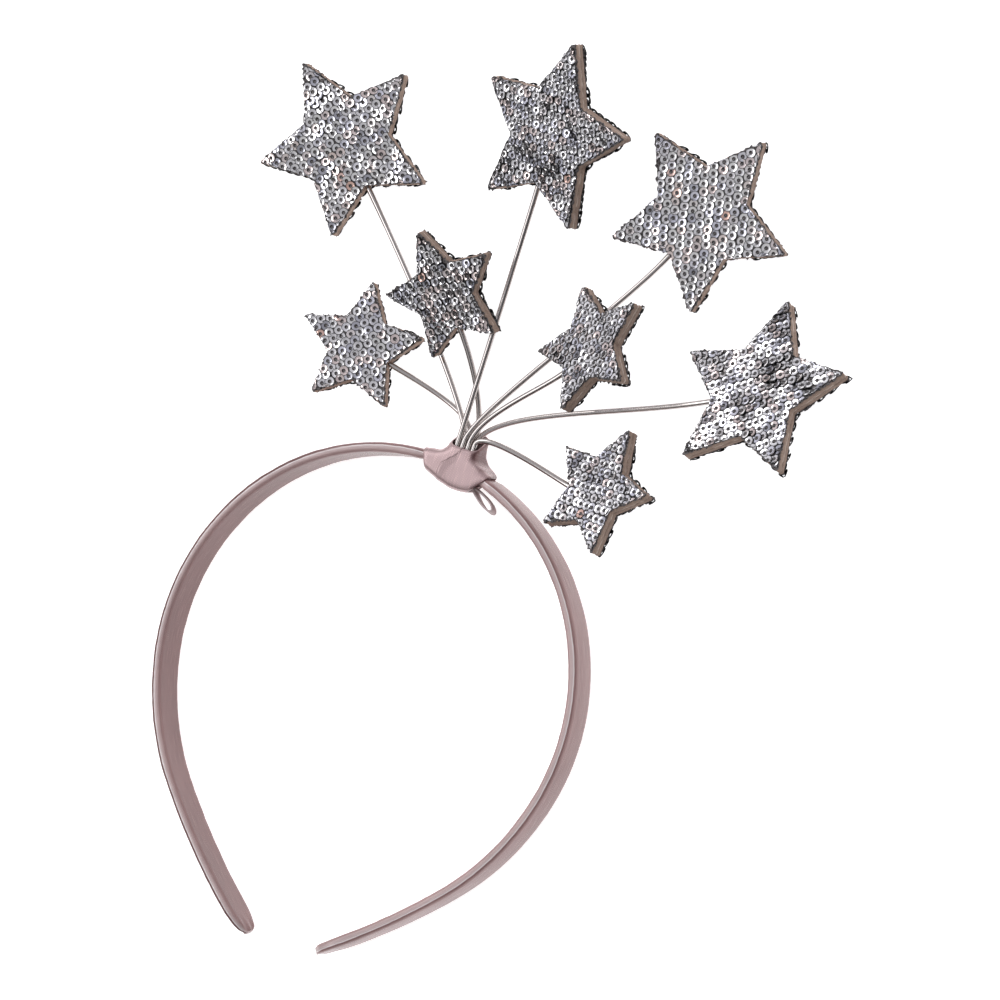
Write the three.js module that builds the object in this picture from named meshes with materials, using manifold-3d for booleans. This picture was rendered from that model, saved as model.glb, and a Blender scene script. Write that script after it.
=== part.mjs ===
// Star headband: a satin-covered alice band with eight padded sequin stars on wires, tied to its crown.
// Millimetres. The headband lies on its back rim: +X to the right, +Y from the open tips to the crown,
// +Z up from the surface. Places are measured from the top of the arch, on the band's centre line.

import * as THREE from 'three';
import { mergeVertices } from 'three/addons/utils/BufferGeometryUtils.js';
import Module from 'manifold-3d';

const wasm = await Module();
wasm.setup();

// Band
const BAND_WIDTH = 12;
const BAND_THICKNESS = 2.8;
const RIM_RADIUS = 1.1;
const TONGUE_LENGTH = 9;
const TONGUE_END = 0.4;
const TONGUE_END_THICKNESS = 0.55;
const RIGHT_ARM_TRIM = 4.5;
const BAND_STEP = 7.5;
const TONGUE_STEPS = 5;

// Arcs of each arm, from the top of the arch down to the tip
const ARM_ARCS = [
  { radius: 60, length: 46 },
  { radius: 63, length: 66 },
  { radius: 74, length: 36 },
  { radius: 197, length: 45.5 },
];

// Ribbon wrap: it pulls the padded band in, so that its own underside stays level with the back rim
const RIBBON_WALL = 1;
const WRAP_GAP = 0.25;
const FLOOR_GAP = 0.05;
const WRAP_CORNER = 2.2;
const PINCH = { from: -5.5, to: 18.5, fade: 5, step: 2.4, halfThickness: 1.2 };

// Wound part of the wrap: how far it stands off the band's centre line on the head side and outside,
// and how much its cut edge slants along the band for each millimetre outward
const WOUND_SECTIONS = [
  { along: -4.2, inner: 2.8, outer: 2.5, slant: -0.5 },
  { along: -1, inner: 4.2, outer: 2.6, slant: -0.3 },
  { along: 4, inner: 5.8, outer: 2.8, slant: 0 },
  { along: 9, inner: 6.2, outer: 2.8, slant: 0.3 },
  { along: 13, inner: 5.8, outer: 2.7, slant: 0.5 },
  { along: 16, inner: 5.2, outer: 2.5, slant: 0.6 },
];

// Neck of the wrap: a funnel that narrows from the crown to its slanted mouth
const NECK_SECTIONS = [
  { rise: -1, middle: 6.2, halfWidth: 9.2, halfDepth: 5.4, height: 6, slant: 0 },
  { rise: 1, middle: 6, halfWidth: 8.6, halfDepth: 5.3, height: 6, slant: 0 },
  { rise: 2.2, middle: 5.8, halfWidth: 6.4, halfDepth: 5.1, height: 6.2, slant: 0.05 },
  { rise: 3.6, middle: 5.9, halfWidth: 5.1, halfDepth: 4.7, height: 6.6, slant: 0.2 },
  { rise: 5.4, middle: 6.3, halfWidth: 4.6, halfDepth: 4.3, height: 7, slant: 0.45 },
  { rise: 7.2, middle: 6.5, halfWidth: 4.5, halfDepth: 4.2, height: 7.2, slant: 0.65 },
];
const NECK_CORNER = 2.5;
const NECK_CORNER_STEPS = 4;
const NECK_MARGIN = 1.5;

// Ribbon loop: a teardrop of ribbon whose tail is tucked into the wrap on the head side
const LOOP = { x: 10.4, y: -4.3, turn: -30, length: 9.4, bulge: 2.6, bottom: 3.5, top: 8.5, steps: 22 };
const LOOP_HOLE = { start: 2.2, length: 6.2, bulge: 1.5 };
const LOOP_GAP = 0.35;

// Wires: seats in the neck, in columns across it and rows from the surface up
const WIRE_DIAMETER = 1.5;
const WIRE_SIDES = 8;
const WIRE_STEP = 3.4;
const SEAT = { x: 6.5, bottom: 2.2, top: 6.5, height: 7.2, columnPitch: 1.65, rowPitch: 2 };

// Stars
const LARGE_RADIUS = 25.3;
const SMALL_RADIUS = 17.8;
const NOTCH_RATIO = 0.515;
const TIP_BLUNT = 0.6;
const POINTS = 5;
const FOAM_THICKNESS = 3;
const CLOTH_THICKNESS = 1;
const CLOTH_GAP = 0.2;
const BORE_GAP = 0.3;
const BORE_SIDES = 8;

// How deep the wire's bore goes, as a share of the way from an inner corner to the middle
const BORE_SHARE = 0.65;

// One row for each star: its centre, how high its lowest point is above the surface, how far its face leans
// and toward which side, and from which side its wire comes in (degrees). Then the wire's seat in the neck,
// and how strongly its bend holds the direction of the neck and of the star's bore (lengths of its handles).
const STARS = [
  { radius: LARGE_RADIUS, x: -58, y: 73, rise: 0, lean: 7, toward: -53, entry: 316,
    column: -1, row: 0, neckRun: 8, starRun: 8 },
  { radius: LARGE_RADIUS, x: 5.2, y: 91, rise: 6.9, lean: 22, toward: -135, entry: 264,
    column: -1.5, row: 1, neckRun: 11, starRun: 7 },
  { radius: LARGE_RADIUS, x: 48, y: 83.5, rise: 0, lean: 8, toward: -84, entry: 245,
    column: -0.5, row: 1, neckRun: 9, starRun: 17 },
  { radius: LARGE_RADIUS, x: 80.5, y: 44, rise: 0, lean: 22, toward: 146, entry: 204,
    column: 1, row: 0, neckRun: 11, starRun: 26 },
  { radius: SMALL_RADIUS, x: -33.5, y: 21.5, rise: 2, lean: 5, toward: 11, entry: 349,
    column: -0.5, row: -1, neckRun: 7, starRun: 20 },
  { radius: SMALL_RADIUS, x: -10.4, y: 42.5, rise: 6.8, lean: 22, toward: -98, entry: 306,
    column: 0.5, row: -1, neckRun: 11, starRun: 5 },
  { radius: SMALL_RADIUS, x: 35, y: 41, rise: 8, lean: 27, toward: 172, entry: 232,
    column: 0.5, row: 1, neckRun: 9, starRun: 8 },
  { radius: SMALL_RADIUS, x: 48.5, y: 6, rise: 4, lean: 25, toward: 163, entry: 188,
    column: 1.5, row: 1, neckRun: 6, starRun: 2 },
];

const satin = () => new THREE.MeshStandardMaterial({ color: 0xb39a9a, roughness: 0.38, metalness: 0 });
const silver = () => new THREE.MeshStandardMaterial({ color: 0xd6d4d2, roughness: 0.18, metalness: 1 });
const foam = () => new THREE.MeshStandardMaterial({ color: 0x8c7364, roughness: 0.9, metalness: 0 });
const sequins = () => new THREE.MeshStandardMaterial({ color: 0xc2c0c6, roughness: 0.25, metalness: 0.8 });

const halfWidth = BAND_WIDTH / 2;
const halfThickness = BAND_THICKNESS / 2;
const pinchedHalfWidth = halfWidth - FLOOR_GAP - RIBBON_WALL - WRAP_GAP;
const armLength = ARM_ARCS.reduce((sum, arc) => sum + arc.length, 0);
const leftEnd = -armLength;
const rightEnd = armLength - RIGHT_ARM_TRIM;

// Place on the band's centre line and the way outward there, so far along it from the top of the arch
function bandFrame(along) {
  const side = along < 0 ? -1 : 1;
  const place = new THREE.Vector2(0, 0);
  let heading = 0;
  let left = Math.abs(along);
  ARM_ARCS.forEach((arc, index) => {
    const isLast = index === ARM_ARCS.length - 1;
    const run = isLast ? left : Math.min(left, arc.length);
    const turn = run / arc.radius;
    place.x += arc.radius * (Math.sin(heading + turn) - Math.sin(heading));
    place.y += arc.radius * (Math.cos(heading + turn) - Math.cos(heading));
    heading += turn;
    left -= run;
  });
  const outward = new THREE.Vector2(side * Math.sin(heading), Math.cos(heading));
  return { place: new THREE.Vector2(side * place.x, place.y), outward };
}

// Point beside the centre line: along the band, outward from it, and up from the surface
function bandPoint(along, outward, height) {
  const frame = bandFrame(along);
  const place = frame.place.addScaledVector(frame.outward, outward);
  return new THREE.Vector3(place.x, place.y, height);
}

// Rectangle with round corners, counter-clockwise, as points about its middle
function roundedRectangle(halfX, halfY, radius, cornerSteps = 3) {
  const points = [];
  for (let corner = 0; corner < 4; corner += 1) {
    const middleX = (corner === 0 || corner === 3 ? 1 : -1) * (halfX - radius);
    const middleY = (corner < 2 ? 1 : -1) * (halfY - radius);
    for (let step = 0; step <= cornerSteps; step += 1) {
      const angle = (Math.PI / 2) * (corner + step / cornerSteps);
      points.push(new THREE.Vector2(
        middleX + radius * Math.cos(angle),
        middleY + radius * Math.sin(angle),
      ));
    }
  }
  return points;
}

// Closed solid through rings of points, with its faces turned outward
function loft(rings) {
  const count = rings[0].length;
  const vertices = rings.flat();
  const faces = [];
  for (let ring = 0; ring + 1 < rings.length; ring += 1) {
    for (let point = 0; point < count; point += 1) {
      const next = (point + 1) % count;
      const a = ring * count + point;
      const b = ring * count + next;
      faces.push([a, b, b + count], [a, b + count, a + count]);
    }
  }
  [0, rings.length - 1].forEach((ring) => {
    const middle = new THREE.Vector3();
    rings[ring].forEach((point) => middle.addScaledVector(point, 1 / count));
    vertices.push(middle);
    for (let point = 0; point < count; point += 1) {
      const edge = [ring * count + (point + 1) % count, ring * count + point];
      faces.push([...(ring === 0 ? edge : edge.reverse()), vertices.length - 1]);
    }
  });
  const volume = faces.reduce((sum, [a, b, c]) => (
    sum + vertices[a].clone().cross(vertices[b]).dot(vertices[c])
  ), 0);
  const geometry = new THREE.BufferGeometry().setFromPoints(vertices);
  geometry.setIndex(faces.flatMap(([a, b, c]) => (volume < 0 ? [a, c, b] : [a, b, c])));
  geometry.computeVertexNormals();
  return geometry;
}

function toSolid(geometry) {
  const bare = new THREE.BufferGeometry();
  bare.setAttribute('position', geometry.getAttribute('position'));
  bare.setIndex(geometry.getIndex());
  const merged = mergeVertices(bare);
  return new wasm.Manifold(new wasm.Mesh({
    numProp: 3,
    vertProperties: new Float32Array(merged.getAttribute('position').array),
    triVerts: new Uint32Array(merged.getIndex().array),
  }));
}

function toGeometry(solid) {
  const mesh = solid.getMesh();
  const geometry = new THREE.BufferGeometry();
  geometry.setAttribute('position', new THREE.BufferAttribute(mesh.vertProperties, mesh.numProp));
  geometry.setIndex(new THREE.BufferAttribute(mesh.triVerts, 1));
  geometry.computeVertexNormals();
  return geometry;
}

function named(name, geometry, material) {
  const mesh = new THREE.Mesh(geometry, material);
  mesh.name = name;
  return mesh;
}

function evenSteps(from, to, step) {
  const count = Math.ceil((to - from) / step);
  return Array.from({ length: count }, (_, index) => from + ((to - from) * index) / count);
}

// Distances from the tip at which the round tongue is drawn, closer together toward the tip
function tongueSteps() {
  return Array.from({ length: TONGUE_STEPS }, (_, index) => (
    TONGUE_END + (TONGUE_LENGTH - TONGUE_END) * (1 - Math.cos((Math.PI / 2) * (index / TONGUE_STEPS)))
  ));
}

function bandSection(along) {
  const fromPinch = Math.max(PINCH.from - along, along - PINCH.to, 0);
  const pinch = 1 - THREE.MathUtils.smoothstep(fromPinch, 0, PINCH.fade);
  const fromTip = Math.min(along - leftEnd, rightEnd - along, TONGUE_LENGTH);
  const tongue = Math.sqrt(1 - (1 - fromTip / TONGUE_LENGTH) ** 2);
  const width = tongue * THREE.MathUtils.lerp(halfWidth, pinchedHalfWidth, pinch);
  const thickness = THREE.MathUtils.lerp(TONGUE_END_THICKNESS, 1, tongue)
    * THREE.MathUtils.lerp(halfThickness, PINCH.halfThickness, pinch);
  const radius = Math.min((RIM_RADIUS * thickness) / halfThickness, width);
  return { thickness, width, radius };
}

function makeBand() {
  const tongue = tongueSteps();
  const pinchStart = PINCH.from - PINCH.fade;
  const pinchEnd = PINCH.to + PINCH.fade;
  const stations = [
    ...tongue.map((step) => leftEnd + step),
    ...evenSteps(leftEnd + TONGUE_LENGTH, pinchStart, BAND_STEP),
    ...evenSteps(pinchStart, pinchEnd, PINCH.step),
    ...evenSteps(pinchEnd, rightEnd - TONGUE_LENGTH, BAND_STEP),
    rightEnd - TONGUE_LENGTH,
    ...tongue.map((step) => rightEnd - step).reverse(),
  ];
  const rings = stations.map((along) => {
    const { thickness, width, radius } = bandSection(along);
    return roundedRectangle(thickness, width, radius)
      .map((point) => bandPoint(along, point.x, halfWidth + point.y));
  });
  return named('band', loft(rings), satin());
}

function woundSolid() {
  const halfHeight = halfWidth - FLOOR_GAP;
  return toSolid(loft(WOUND_SECTIONS.map(({ along, inner, outer, slant }) => {
    const middle = (outer - inner) / 2;
    return roundedRectangle((outer + inner) / 2, halfHeight, WRAP_CORNER).map((point) => {
      const outward = middle + point.x;
      return bandPoint(along + slant * outward, outward, halfWidth + point.y);
    });
  })));
}

function bandHole() {
  const section = roundedRectangle(PINCH.halfThickness + WRAP_GAP, pinchedHalfWidth + WRAP_GAP, RIM_RADIUS);
  const stations = [...evenSteps(PINCH.from, PINCH.to, PINCH.step), PINCH.to];
  return toSolid(loft(stations.map((along) => (
    section.map((point) => bandPoint(along, point.x, halfWidth + point.y))
  ))));
}

// Funnel through the neck's sections, drawn in by a wall where it is the hollow
function neckSolid(sections, wall) {
  return toSolid(loft(sections.map(({ rise, middle, halfWidth: across, halfDepth, height, slant }) => (
    roundedRectangle(across - wall, halfDepth - wall, NECK_CORNER - wall, NECK_CORNER_STEPS)
      .map((point) => new THREE.Vector3(middle + point.x, rise - slant * point.y, height + point.y))
  ))));
}

function neckHollow() {
  const mouth = NECK_SECTIONS[NECK_SECTIONS.length - 1];
  const past = { ...mouth, rise: mouth.rise + NECK_MARGIN };
  return neckSolid([...NECK_SECTIONS.slice(1), past], RIBBON_WALL);
}

// Teardrop with its point at the origin and its round end along +X, counter-clockwise
function teardrop(length, bulge) {
  return Array.from({ length: LOOP.steps }, (_, step) => {
    const angle = (2 * Math.PI * step) / LOOP.steps;
    return new THREE.Vector2(
      (length * (1 - Math.cos(angle))) / 2,
      -bulge * Math.sin(angle) * Math.sin(angle / 2),
    );
  });
}

function placeOnLoop(geometry, bottom) {
  return geometry
    .rotateZ(THREE.MathUtils.degToRad(LOOP.turn))
    .translate(LOOP.x, LOOP.y, bottom);
}

function loopGeometry() {
  const outline = new THREE.Shape(teardrop(LOOP.length, LOOP.bulge));
  const hole = teardrop(LOOP_HOLE.length, LOOP_HOLE.bulge);
  outline.holes.push(new THREE.Path(hole.map((point) => point.setX(point.x + LOOP_HOLE.start))));
  const depth = LOOP.top - LOOP.bottom;
  return placeOnLoop(new THREE.ExtrudeGeometry(outline, { depth, bevelEnabled: false }), LOOP.bottom);
}

// Pocket in the wrap that takes the loop's tail with a gap all round
function loopPocket() {
  const outline = teardrop(LOOP.length + 2 * LOOP_GAP, LOOP.bulge + 2 * LOOP_GAP)
    .map((point) => point.setX(point.x - 2 * LOOP_GAP));
  const depth = LOOP.top - LOOP.bottom + 2 * LOOP_GAP;
  const pocket = new THREE.ExtrudeGeometry(new THREE.Shape(outline), { depth, bevelEnabled: false });
  return toSolid(placeOnLoop(pocket, LOOP.bottom - LOOP_GAP));
}

function makeWrap() {
  const solid = woundSolid()
    .add(neckSolid(NECK_SECTIONS, 0))
    .subtract(bandHole())
    .subtract(neckHollow())
    .subtract(loopPocket());
  return named('ribbon_wrap', toGeometry(solid), satin());
}

// Five-pointed star with blunt tips, one inner corner on +X
function starShape(radius) {
  const points = [];
  for (let point = 0; point < POINTS; point += 1) {
    const notch = (2 * Math.PI * point) / POINTS;
    const tip = notch + Math.PI / POINTS;
    const across = new THREE.Vector2(-Math.sin(tip), Math.cos(tip)).multiplyScalar(TIP_BLUNT);
    const end = new THREE.Vector2(Math.cos(tip), Math.sin(tip)).multiplyScalar(radius);
    points.push(new THREE.Vector2(Math.cos(notch), Math.sin(notch)).multiplyScalar(radius * NOTCH_RATIO));
    points.push(end.clone().sub(across), end.clone().add(across));
  }
  return new THREE.Shape(points);
}

function starPlate(radius, bottom, depth) {
  return new THREE.ExtrudeGeometry(starShape(radius), { depth, bevelEnabled: false }).translate(0, 0, bottom);
}

function boredCore(radius) {
  const boreLength = radius;
  const bore = new THREE.CylinderGeometry(
    WIRE_DIAMETER / 2 + BORE_GAP,
    WIRE_DIAMETER / 2 + BORE_GAP,
    boreLength,
    BORE_SIDES,
  )
    .rotateZ(Math.PI / 2)
    .translate(radius * NOTCH_RATIO * (1 - BORE_SHARE) + boreLength / 2, 0, 0);
  const core = starPlate(radius, -FOAM_THICKNESS / 2, FOAM_THICKNESS);
  return toGeometry(toSolid(core).subtract(toSolid(bore)));
}

function makeStar(star, name) {
  const group = new THREE.Group();
  const clothBottom = FOAM_THICKNESS / 2 + CLOTH_GAP;
  group.add(
    named(`${name}_core`, boredCore(star.radius), foam()),
    named(`${name}_front`, starPlate(star.radius, clothBottom, CLOTH_THICKNESS), sequins()),
    named(`${name}_back`, starPlate(star.radius, -clothBottom - CLOTH_THICKNESS, CLOTH_THICKNESS), sequins()),
  );
  const toward = THREE.MathUtils.degToRad(star.toward);
  const hinge = new THREE.Vector3(-Math.sin(toward), Math.cos(toward), 0);
  const leaning = new THREE.Quaternion().setFromAxisAngle(hinge, THREE.MathUtils.degToRad(star.lean));
  const turned = new THREE.Quaternion().setFromAxisAngle(
    new THREE.Vector3(0, 0, 1),
    THREE.MathUtils.degToRad(star.entry),
  );
  group.quaternion.multiplyQuaternions(leaning, turned);
  const lowest = new THREE.Box3().setFromObject(group, true).min.z;
  group.position.set(star.x, star.y, star.rise - lowest);
  return group;
}

// Wire: up out of its seat in the neck, in one bend to the star's inner corner, and on into its bore
function wirePath(star, group) {
  const notchRadius = star.radius * NOTCH_RATIO;
  const onStar = (reach) => new THREE.Vector3(reach, 0, 0).applyQuaternion(group.quaternion).add(group.position);
  const seatX = SEAT.x + star.column * SEAT.columnPitch;
  const seatZ = SEAT.height + star.row * SEAT.rowPitch;
  const seat = new THREE.Vector3(seatX, SEAT.bottom, seatZ);
  const mouth = new THREE.Vector3(seatX, SEAT.top, seatZ);
  const leaving = new THREE.Vector3(seatX, SEAT.top + star.neckRun, seatZ);
  const notch = onStar(notchRadius);
  const end = onStar(notchRadius * (1 - BORE_SHARE) + WIRE_DIAMETER / 2);
  const path = new THREE.CurvePath();
  path.add(new THREE.LineCurve3(seat, mouth));
  path.add(new THREE.CubicBezierCurve3(mouth, leaving, onStar(notchRadius + star.starRun), notch));
  path.add(new THREE.LineCurve3(notch, end));
  return path;
}

function makeWire(star, group, name) {
  const path = wirePath(star, group);
  const round = new THREE.Shape(Array.from({ length: WIRE_SIDES }, (_, side) => {
    const angle = (2 * Math.PI * side) / WIRE_SIDES;
    return new THREE.Vector2(Math.cos(angle), Math.sin(angle)).multiplyScalar(WIRE_DIAMETER / 2);
  }));
  const steps = Math.ceil(path.getLength() / WIRE_STEP);
  return named(name, new THREE.ExtrudeGeometry(round, { steps, extrudePath: path }), silver());
}

const headband = new THREE.Group();
headband.add(makeBand(), makeWrap(), named('ribbon_loop', loopGeometry(), satin()));
STARS.forEach((star, index) => {
  const group = makeStar(star, `star_${index + 1}`);
  headband.add(group, makeWire(star, group, `wire_${index + 1}`));
});

// The origin is under the middle of the whole headband, on the surface
const middle = new THREE.Box3().setFromObject(headband, true).getCenter(new THREE.Vector3());
headband.position.set(-middle.x, -middle.y, 0);

export default headband;
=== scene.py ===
"""Star headband: a satin-covered band, a tied ribbon, bright wires and padded sequin stars."""

import math

import bmesh
import bpy
from bpy.props import FloatProperty, FloatVectorProperty, IntProperty, PointerProperty
from mathutils import Matrix, Vector, noise
from mathutils.bvhtree import BVHTree


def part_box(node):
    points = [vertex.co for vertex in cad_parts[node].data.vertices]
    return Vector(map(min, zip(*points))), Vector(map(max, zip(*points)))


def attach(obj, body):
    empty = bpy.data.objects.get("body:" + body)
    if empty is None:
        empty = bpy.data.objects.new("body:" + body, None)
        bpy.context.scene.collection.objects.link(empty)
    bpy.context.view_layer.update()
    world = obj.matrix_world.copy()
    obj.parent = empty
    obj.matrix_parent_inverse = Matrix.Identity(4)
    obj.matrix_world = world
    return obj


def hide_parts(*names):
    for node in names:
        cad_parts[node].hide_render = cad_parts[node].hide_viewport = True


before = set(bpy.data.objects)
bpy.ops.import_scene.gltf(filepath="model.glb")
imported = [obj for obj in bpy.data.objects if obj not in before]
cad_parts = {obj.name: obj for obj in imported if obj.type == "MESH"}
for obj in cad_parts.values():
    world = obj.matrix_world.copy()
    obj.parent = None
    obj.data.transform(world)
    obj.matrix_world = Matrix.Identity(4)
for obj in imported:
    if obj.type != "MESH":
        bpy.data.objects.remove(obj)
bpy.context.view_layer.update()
BAND_LOW, BAND_HIGH = (Vector(corner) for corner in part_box("band"))

bl_info = {
    "name": "Star headband",
    "version": (1, 0, 0),
    "blender": (4, 5, 0),
    "location": "3D View > Sidebar > Headband",
    "description": "Dresses a star headband with satin, ribbon, wire, foam and sequins",
    "category": "Add Mesh",
}

BODY = "root"


def table(columns, *rows):
    """Rows of a table as dictionaries. Its columns are named once, in their order."""
    names = columns.split()
    return [dict(zip(names, row)) for row in rows]


# Arch of the band, measured from the top of the arch on its centre line. The ribbon pinches it beside
# the crown, and each arm ends in a rounded tongue.
PINCH = {"start": -0.003, "end": 0.0155, "fade": 0.0016, "half_width": 0.0052, "half_thickness": 0.0012}
CROWN = Vector((
    (BAND_LOW.x + BAND_HIGH.x) / 2,
    BAND_HIGH.y - PINCH["half_thickness"],
    BAND_LOW.z,
))
ARM_ARCS = table(
    "radius length",
    (0.060, 0.046),
    (0.063, 0.066),
    (0.074, 0.036),
    (0.197, 0.0455),
)
RIGHT_ARM_TRIM = 0.0045
ARM_LENGTH = sum(arc["length"] for arc in ARM_ARCS)
LEFT_END = -ARM_LENGTH
RIGHT_END = ARM_LENGTH - RIGHT_ARM_TRIM
TONGUE_LENGTH = 0.009
TONGUE_END = 0.0003
TONGUE_END_SHARE = 0.5

# Painted light of the satin round the band, by how far out from its middle as a share of half its
# thickness.
# The second column is painted shade, and the third a dark painted shade line along the outer edge of the
# left arm, where the painted lines of the rim lie further in. The last column is a pale painted highlight
# line along the rim.
BAND_PAINTED_LIGHT = table(
    "out shade seam gleam",
    (-1.0, 0.55, 0.0, 0.0),
    (-0.92, 0.15, 0.0, 0.0),
    (-0.6, 0.05, 0.0, 0.1),
    (-0.2, 0.0, 0.0, 0.28),
    (0.16, 0.0, 0.0, 0.36),
    (0.3, 0.0, 0.0, 1.0),
    (0.42, 0.5, 0.45, 0.0),
    (0.6, 0.4, 0.5, 0.0),
    (0.75, 0.15, 0.7, 0.0),
    (0.9, 0.18, 0.4, 0.0),
    (1.0, 0.3, 0.0, 0.0),
)
# Where the left arm's painted shade line fades in, and how far its painted rim lines shift in across the
# rim
LEFT_PAINT_START = -0.012
LEFT_PAINT_FULL = -0.045
LEFT_PAINT_SHIFT = 0.15
RIM_START = -0.5
RIM_FULL = -0.1

# Ribbon wrap: how far its wound part stands off the centre line on the head side and outside, how much its
# cut edge slants along the band, and how much it is pulled back toward the surface
WOUND_SECTIONS = table(
    "along inner outer slant pull",
    (-0.0036, 0.0039, 0.0019, -0.35, 0.0),
    (-0.0006, 0.0049, 0.0024, -0.25, 0.0),
    (0.004, 0.0058, 0.0028, 0.0, 0.0),
    (0.009, 0.0062, 0.0028, 0.3, 0.03),
    (0.013, 0.0058, 0.0026, 0.45, 0.1),
    (0.0158, 0.0050, 0.0023, 0.55, 0.2),
)
WRAP_HALF_HEIGHT = 0.00595
WRAP_CORNER = 0.0022
# Painted shade on the wrap where its surface turns toward +X: at most this much, from the normal's x at
# start to full
WRAP_PAINTED_SHADE = {"most": 1.0, "start": 0.1, "full": 0.8}

# Neck of the wrap, from the crown out to its slanted mouth
NECK_SECTIONS = table(
    "rise middle across depth height slant",
    (-0.001, 0.0062, 0.0092, 0.0059, 0.0060, 0.0),
    (0.001, 0.0060, 0.0086, 0.0058, 0.0060, 0.0),
    (0.0022, 0.0058, 0.0064, 0.0055, 0.0062, 0.05),
    (0.0036, 0.0059, 0.0051, 0.0050, 0.0066, 0.2),
    (0.0054, 0.0063, 0.0046, 0.0045, 0.0070, 0.45),
    (0.0072, 0.0065, 0.0045, 0.0043, 0.0072, 0.65),
)
NECK_CORNER = 0.0025
NECK_MARGIN = 0.0015
CORNER_STEPS = 6
SIDE_STEPS = 3

# Edges of the ribbon's last turn, by the angle round the wrap's axis (0 up, positive to the head side)
WRAP_AXIS = Vector((0.0, -0.0015, 0.006))
CROSSING_EDGES = table(
    "angle left right",
    (-58, 0.0070, 0.0104),
    (-43, 0.0065, 0.0110),
    (-35, 0.0056, 0.0118),
    (-22, 0.0041, 0.0138),
    (-4, 0.0024, 0.0142),
    (11, 0.0021, 0.0137),
    (39, 0.0020, 0.0126),
    (80, 0.0026, 0.0117),
    (130, 0.0036, 0.0113),
    (168, 0.0044, 0.0113),
)

# Ribbon loop: a teardrop whose tail is tucked into the wrap on the head side
LOOP = {"x": 0.0114, "y": -0.0043, "turn": -31, "length": 0.0088, "bulge": 0.0014, "flare": 0.0009}
LOOP_BOTTOM = 0.0036
LOOP_TOP = 0.0084

# Wires: seats in the neck, in columns across it and rows from the surface up
SEAT = {"x": 0.0065, "bottom": 0.0022, "top": 0.0065, "height": 0.0072, "column": 0.00165, "row": 0.002}

# Stars: the plate's sizes, and one row for each star. A row has its centre, how high its lowest point is,
# how far its face leans and toward which side, from which side its wire comes in, its wire's seat, and
# the lengths of the handles of the wire's bend.
LARGE_RADIUS = 0.0253
SMALL_RADIUS = 0.0178
NOTCH_RATIO = 0.515
TIP_BLUNT = 0.00035
POINTS = 5
STAR_HALF_DEPTH = 0.0027
BORE_SHARE = 0.65
BORE_SLACK = 0.001
STARS = table(
    "radius x y rise lean toward entry column row neck_run star_run",
    (LARGE_RADIUS, -0.058, 0.073, 0.0, 7, -53, 316, -1, 0, 0.008, 0.008),
    (LARGE_RADIUS, 0.0052, 0.091, 0.0069, 22, -135, 264, -1.5, 1, 0.011, 0.007),
    (LARGE_RADIUS, 0.048, 0.0835, 0.0, 8, -84, 245, -0.5, 1, 0.009, 0.017),
    (LARGE_RADIUS, 0.0805, 0.044, 0.0, 22, 146, 204, 1, 0, 0.011, 0.026),
    (SMALL_RADIUS, -0.0335, 0.0215, 0.002, 5, 11, 349, -0.5, -1, 0.007, 0.020),
    (SMALL_RADIUS, -0.0104, 0.0425, 0.0068, 22, -98, 306, 0.5, -1, 0.011, 0.005),
    (SMALL_RADIUS, 0.035, 0.041, 0.008, 27, 172, 232, 0.5, 1, 0.009, 0.008),
    (SMALL_RADIUS, 0.0485, 0.006, 0.004, 25, 163, 188, 1.5, 1, 0.006, 0.002),
)
STAR_TOLERANCE = 0.0004

# A star's edge from an inner corner to the next tip, and the angle between the two
HALF_TURN = math.pi / POINTS
STAR_EDGE = (Vector((math.cos(HALF_TURN), math.sin(HALF_TURN))) - Vector((NOTCH_RATIO, 0.0))).normalized()

# How each star's sequins lie: the way their rows run, how much the whole field ripples and how much each
# sequin sways, all in degrees, and how many times deeper their cups are than the flattest ones
SEQUIN_LAY = table(
    "rows ripple sway cup",
    (20, 11, 5, 0.7),
    (-15, 7, 5, 2.2),
    (35, 4, 3, 0.5),
    (5, 12, 6, 0.8),
    (-25, 5, 4, 0.5),
    (12, 8, 5, 2.2),
    (40, 6, 4, 1.0),
    (-8, 6, 4, 1.1),
)
BACK_SEED = 100
THREAD_COLOUR = (0.45, 0.44, 0.45)

# Sequins are kept to this far outside a star's edge. What stands past the margin is drawn in to a share of
# itself, which is larger on the back, where the cloth is cut more loosely.
EDGE_INSET = -0.0006
EDGE_MARGIN = -0.0001
EDGE_LEFT = {"front": 0.16, "back": 0.5}

# Camera: where it stands in the arch's frame and the way its picture goes up
CAMERA_PLACE = Vector((0.3697, 0.0222, 0.8791))
CAMERA_BACK = Vector((0.372, 0.029, 0.928))
CAMERA_UP = Vector((-0.3126, 0.9455, 0.0953))


class Value:
    """A socket of a node tree. Arithmetic on it adds Math nodes to the same tree."""

    def __init__(self, graph, socket):
        self.graph = graph
        self.socket = socket

    def math(self, operation, *others):
        return self.graph.math(operation, self, *others)

    def __add__(self, other):
        return self.math("ADD", other)

    def __radd__(self, other):
        return self.graph.math("ADD", other, self)

    def __sub__(self, other):
        return self.math("SUBTRACT", other)

    def __rsub__(self, other):
        return self.graph.math("SUBTRACT", other, self)

    def __mul__(self, other):
        return self.math("MULTIPLY", other)

    def __rmul__(self, other):
        return self.graph.math("MULTIPLY", other, self)

    def __truediv__(self, other):
        return self.math("DIVIDE", other)

    def __rtruediv__(self, other):
        return self.graph.math("DIVIDE", other, self)

    def __gt__(self, other):
        return self.math("GREATER_THAN", other)

    def clamped(self):
        return self.math("MAXIMUM", 0.0).math("MINIMUM", 1.0)

    def step(self, low, high):
        """Smooth step from 0 at low to 1 at high."""
        return self.graph.value("ShaderNodeMapRange", {"interpolation_type": "SMOOTHSTEP"}, {
            "Value": self, "From Min": low, "From Max": high,
        })


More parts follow.
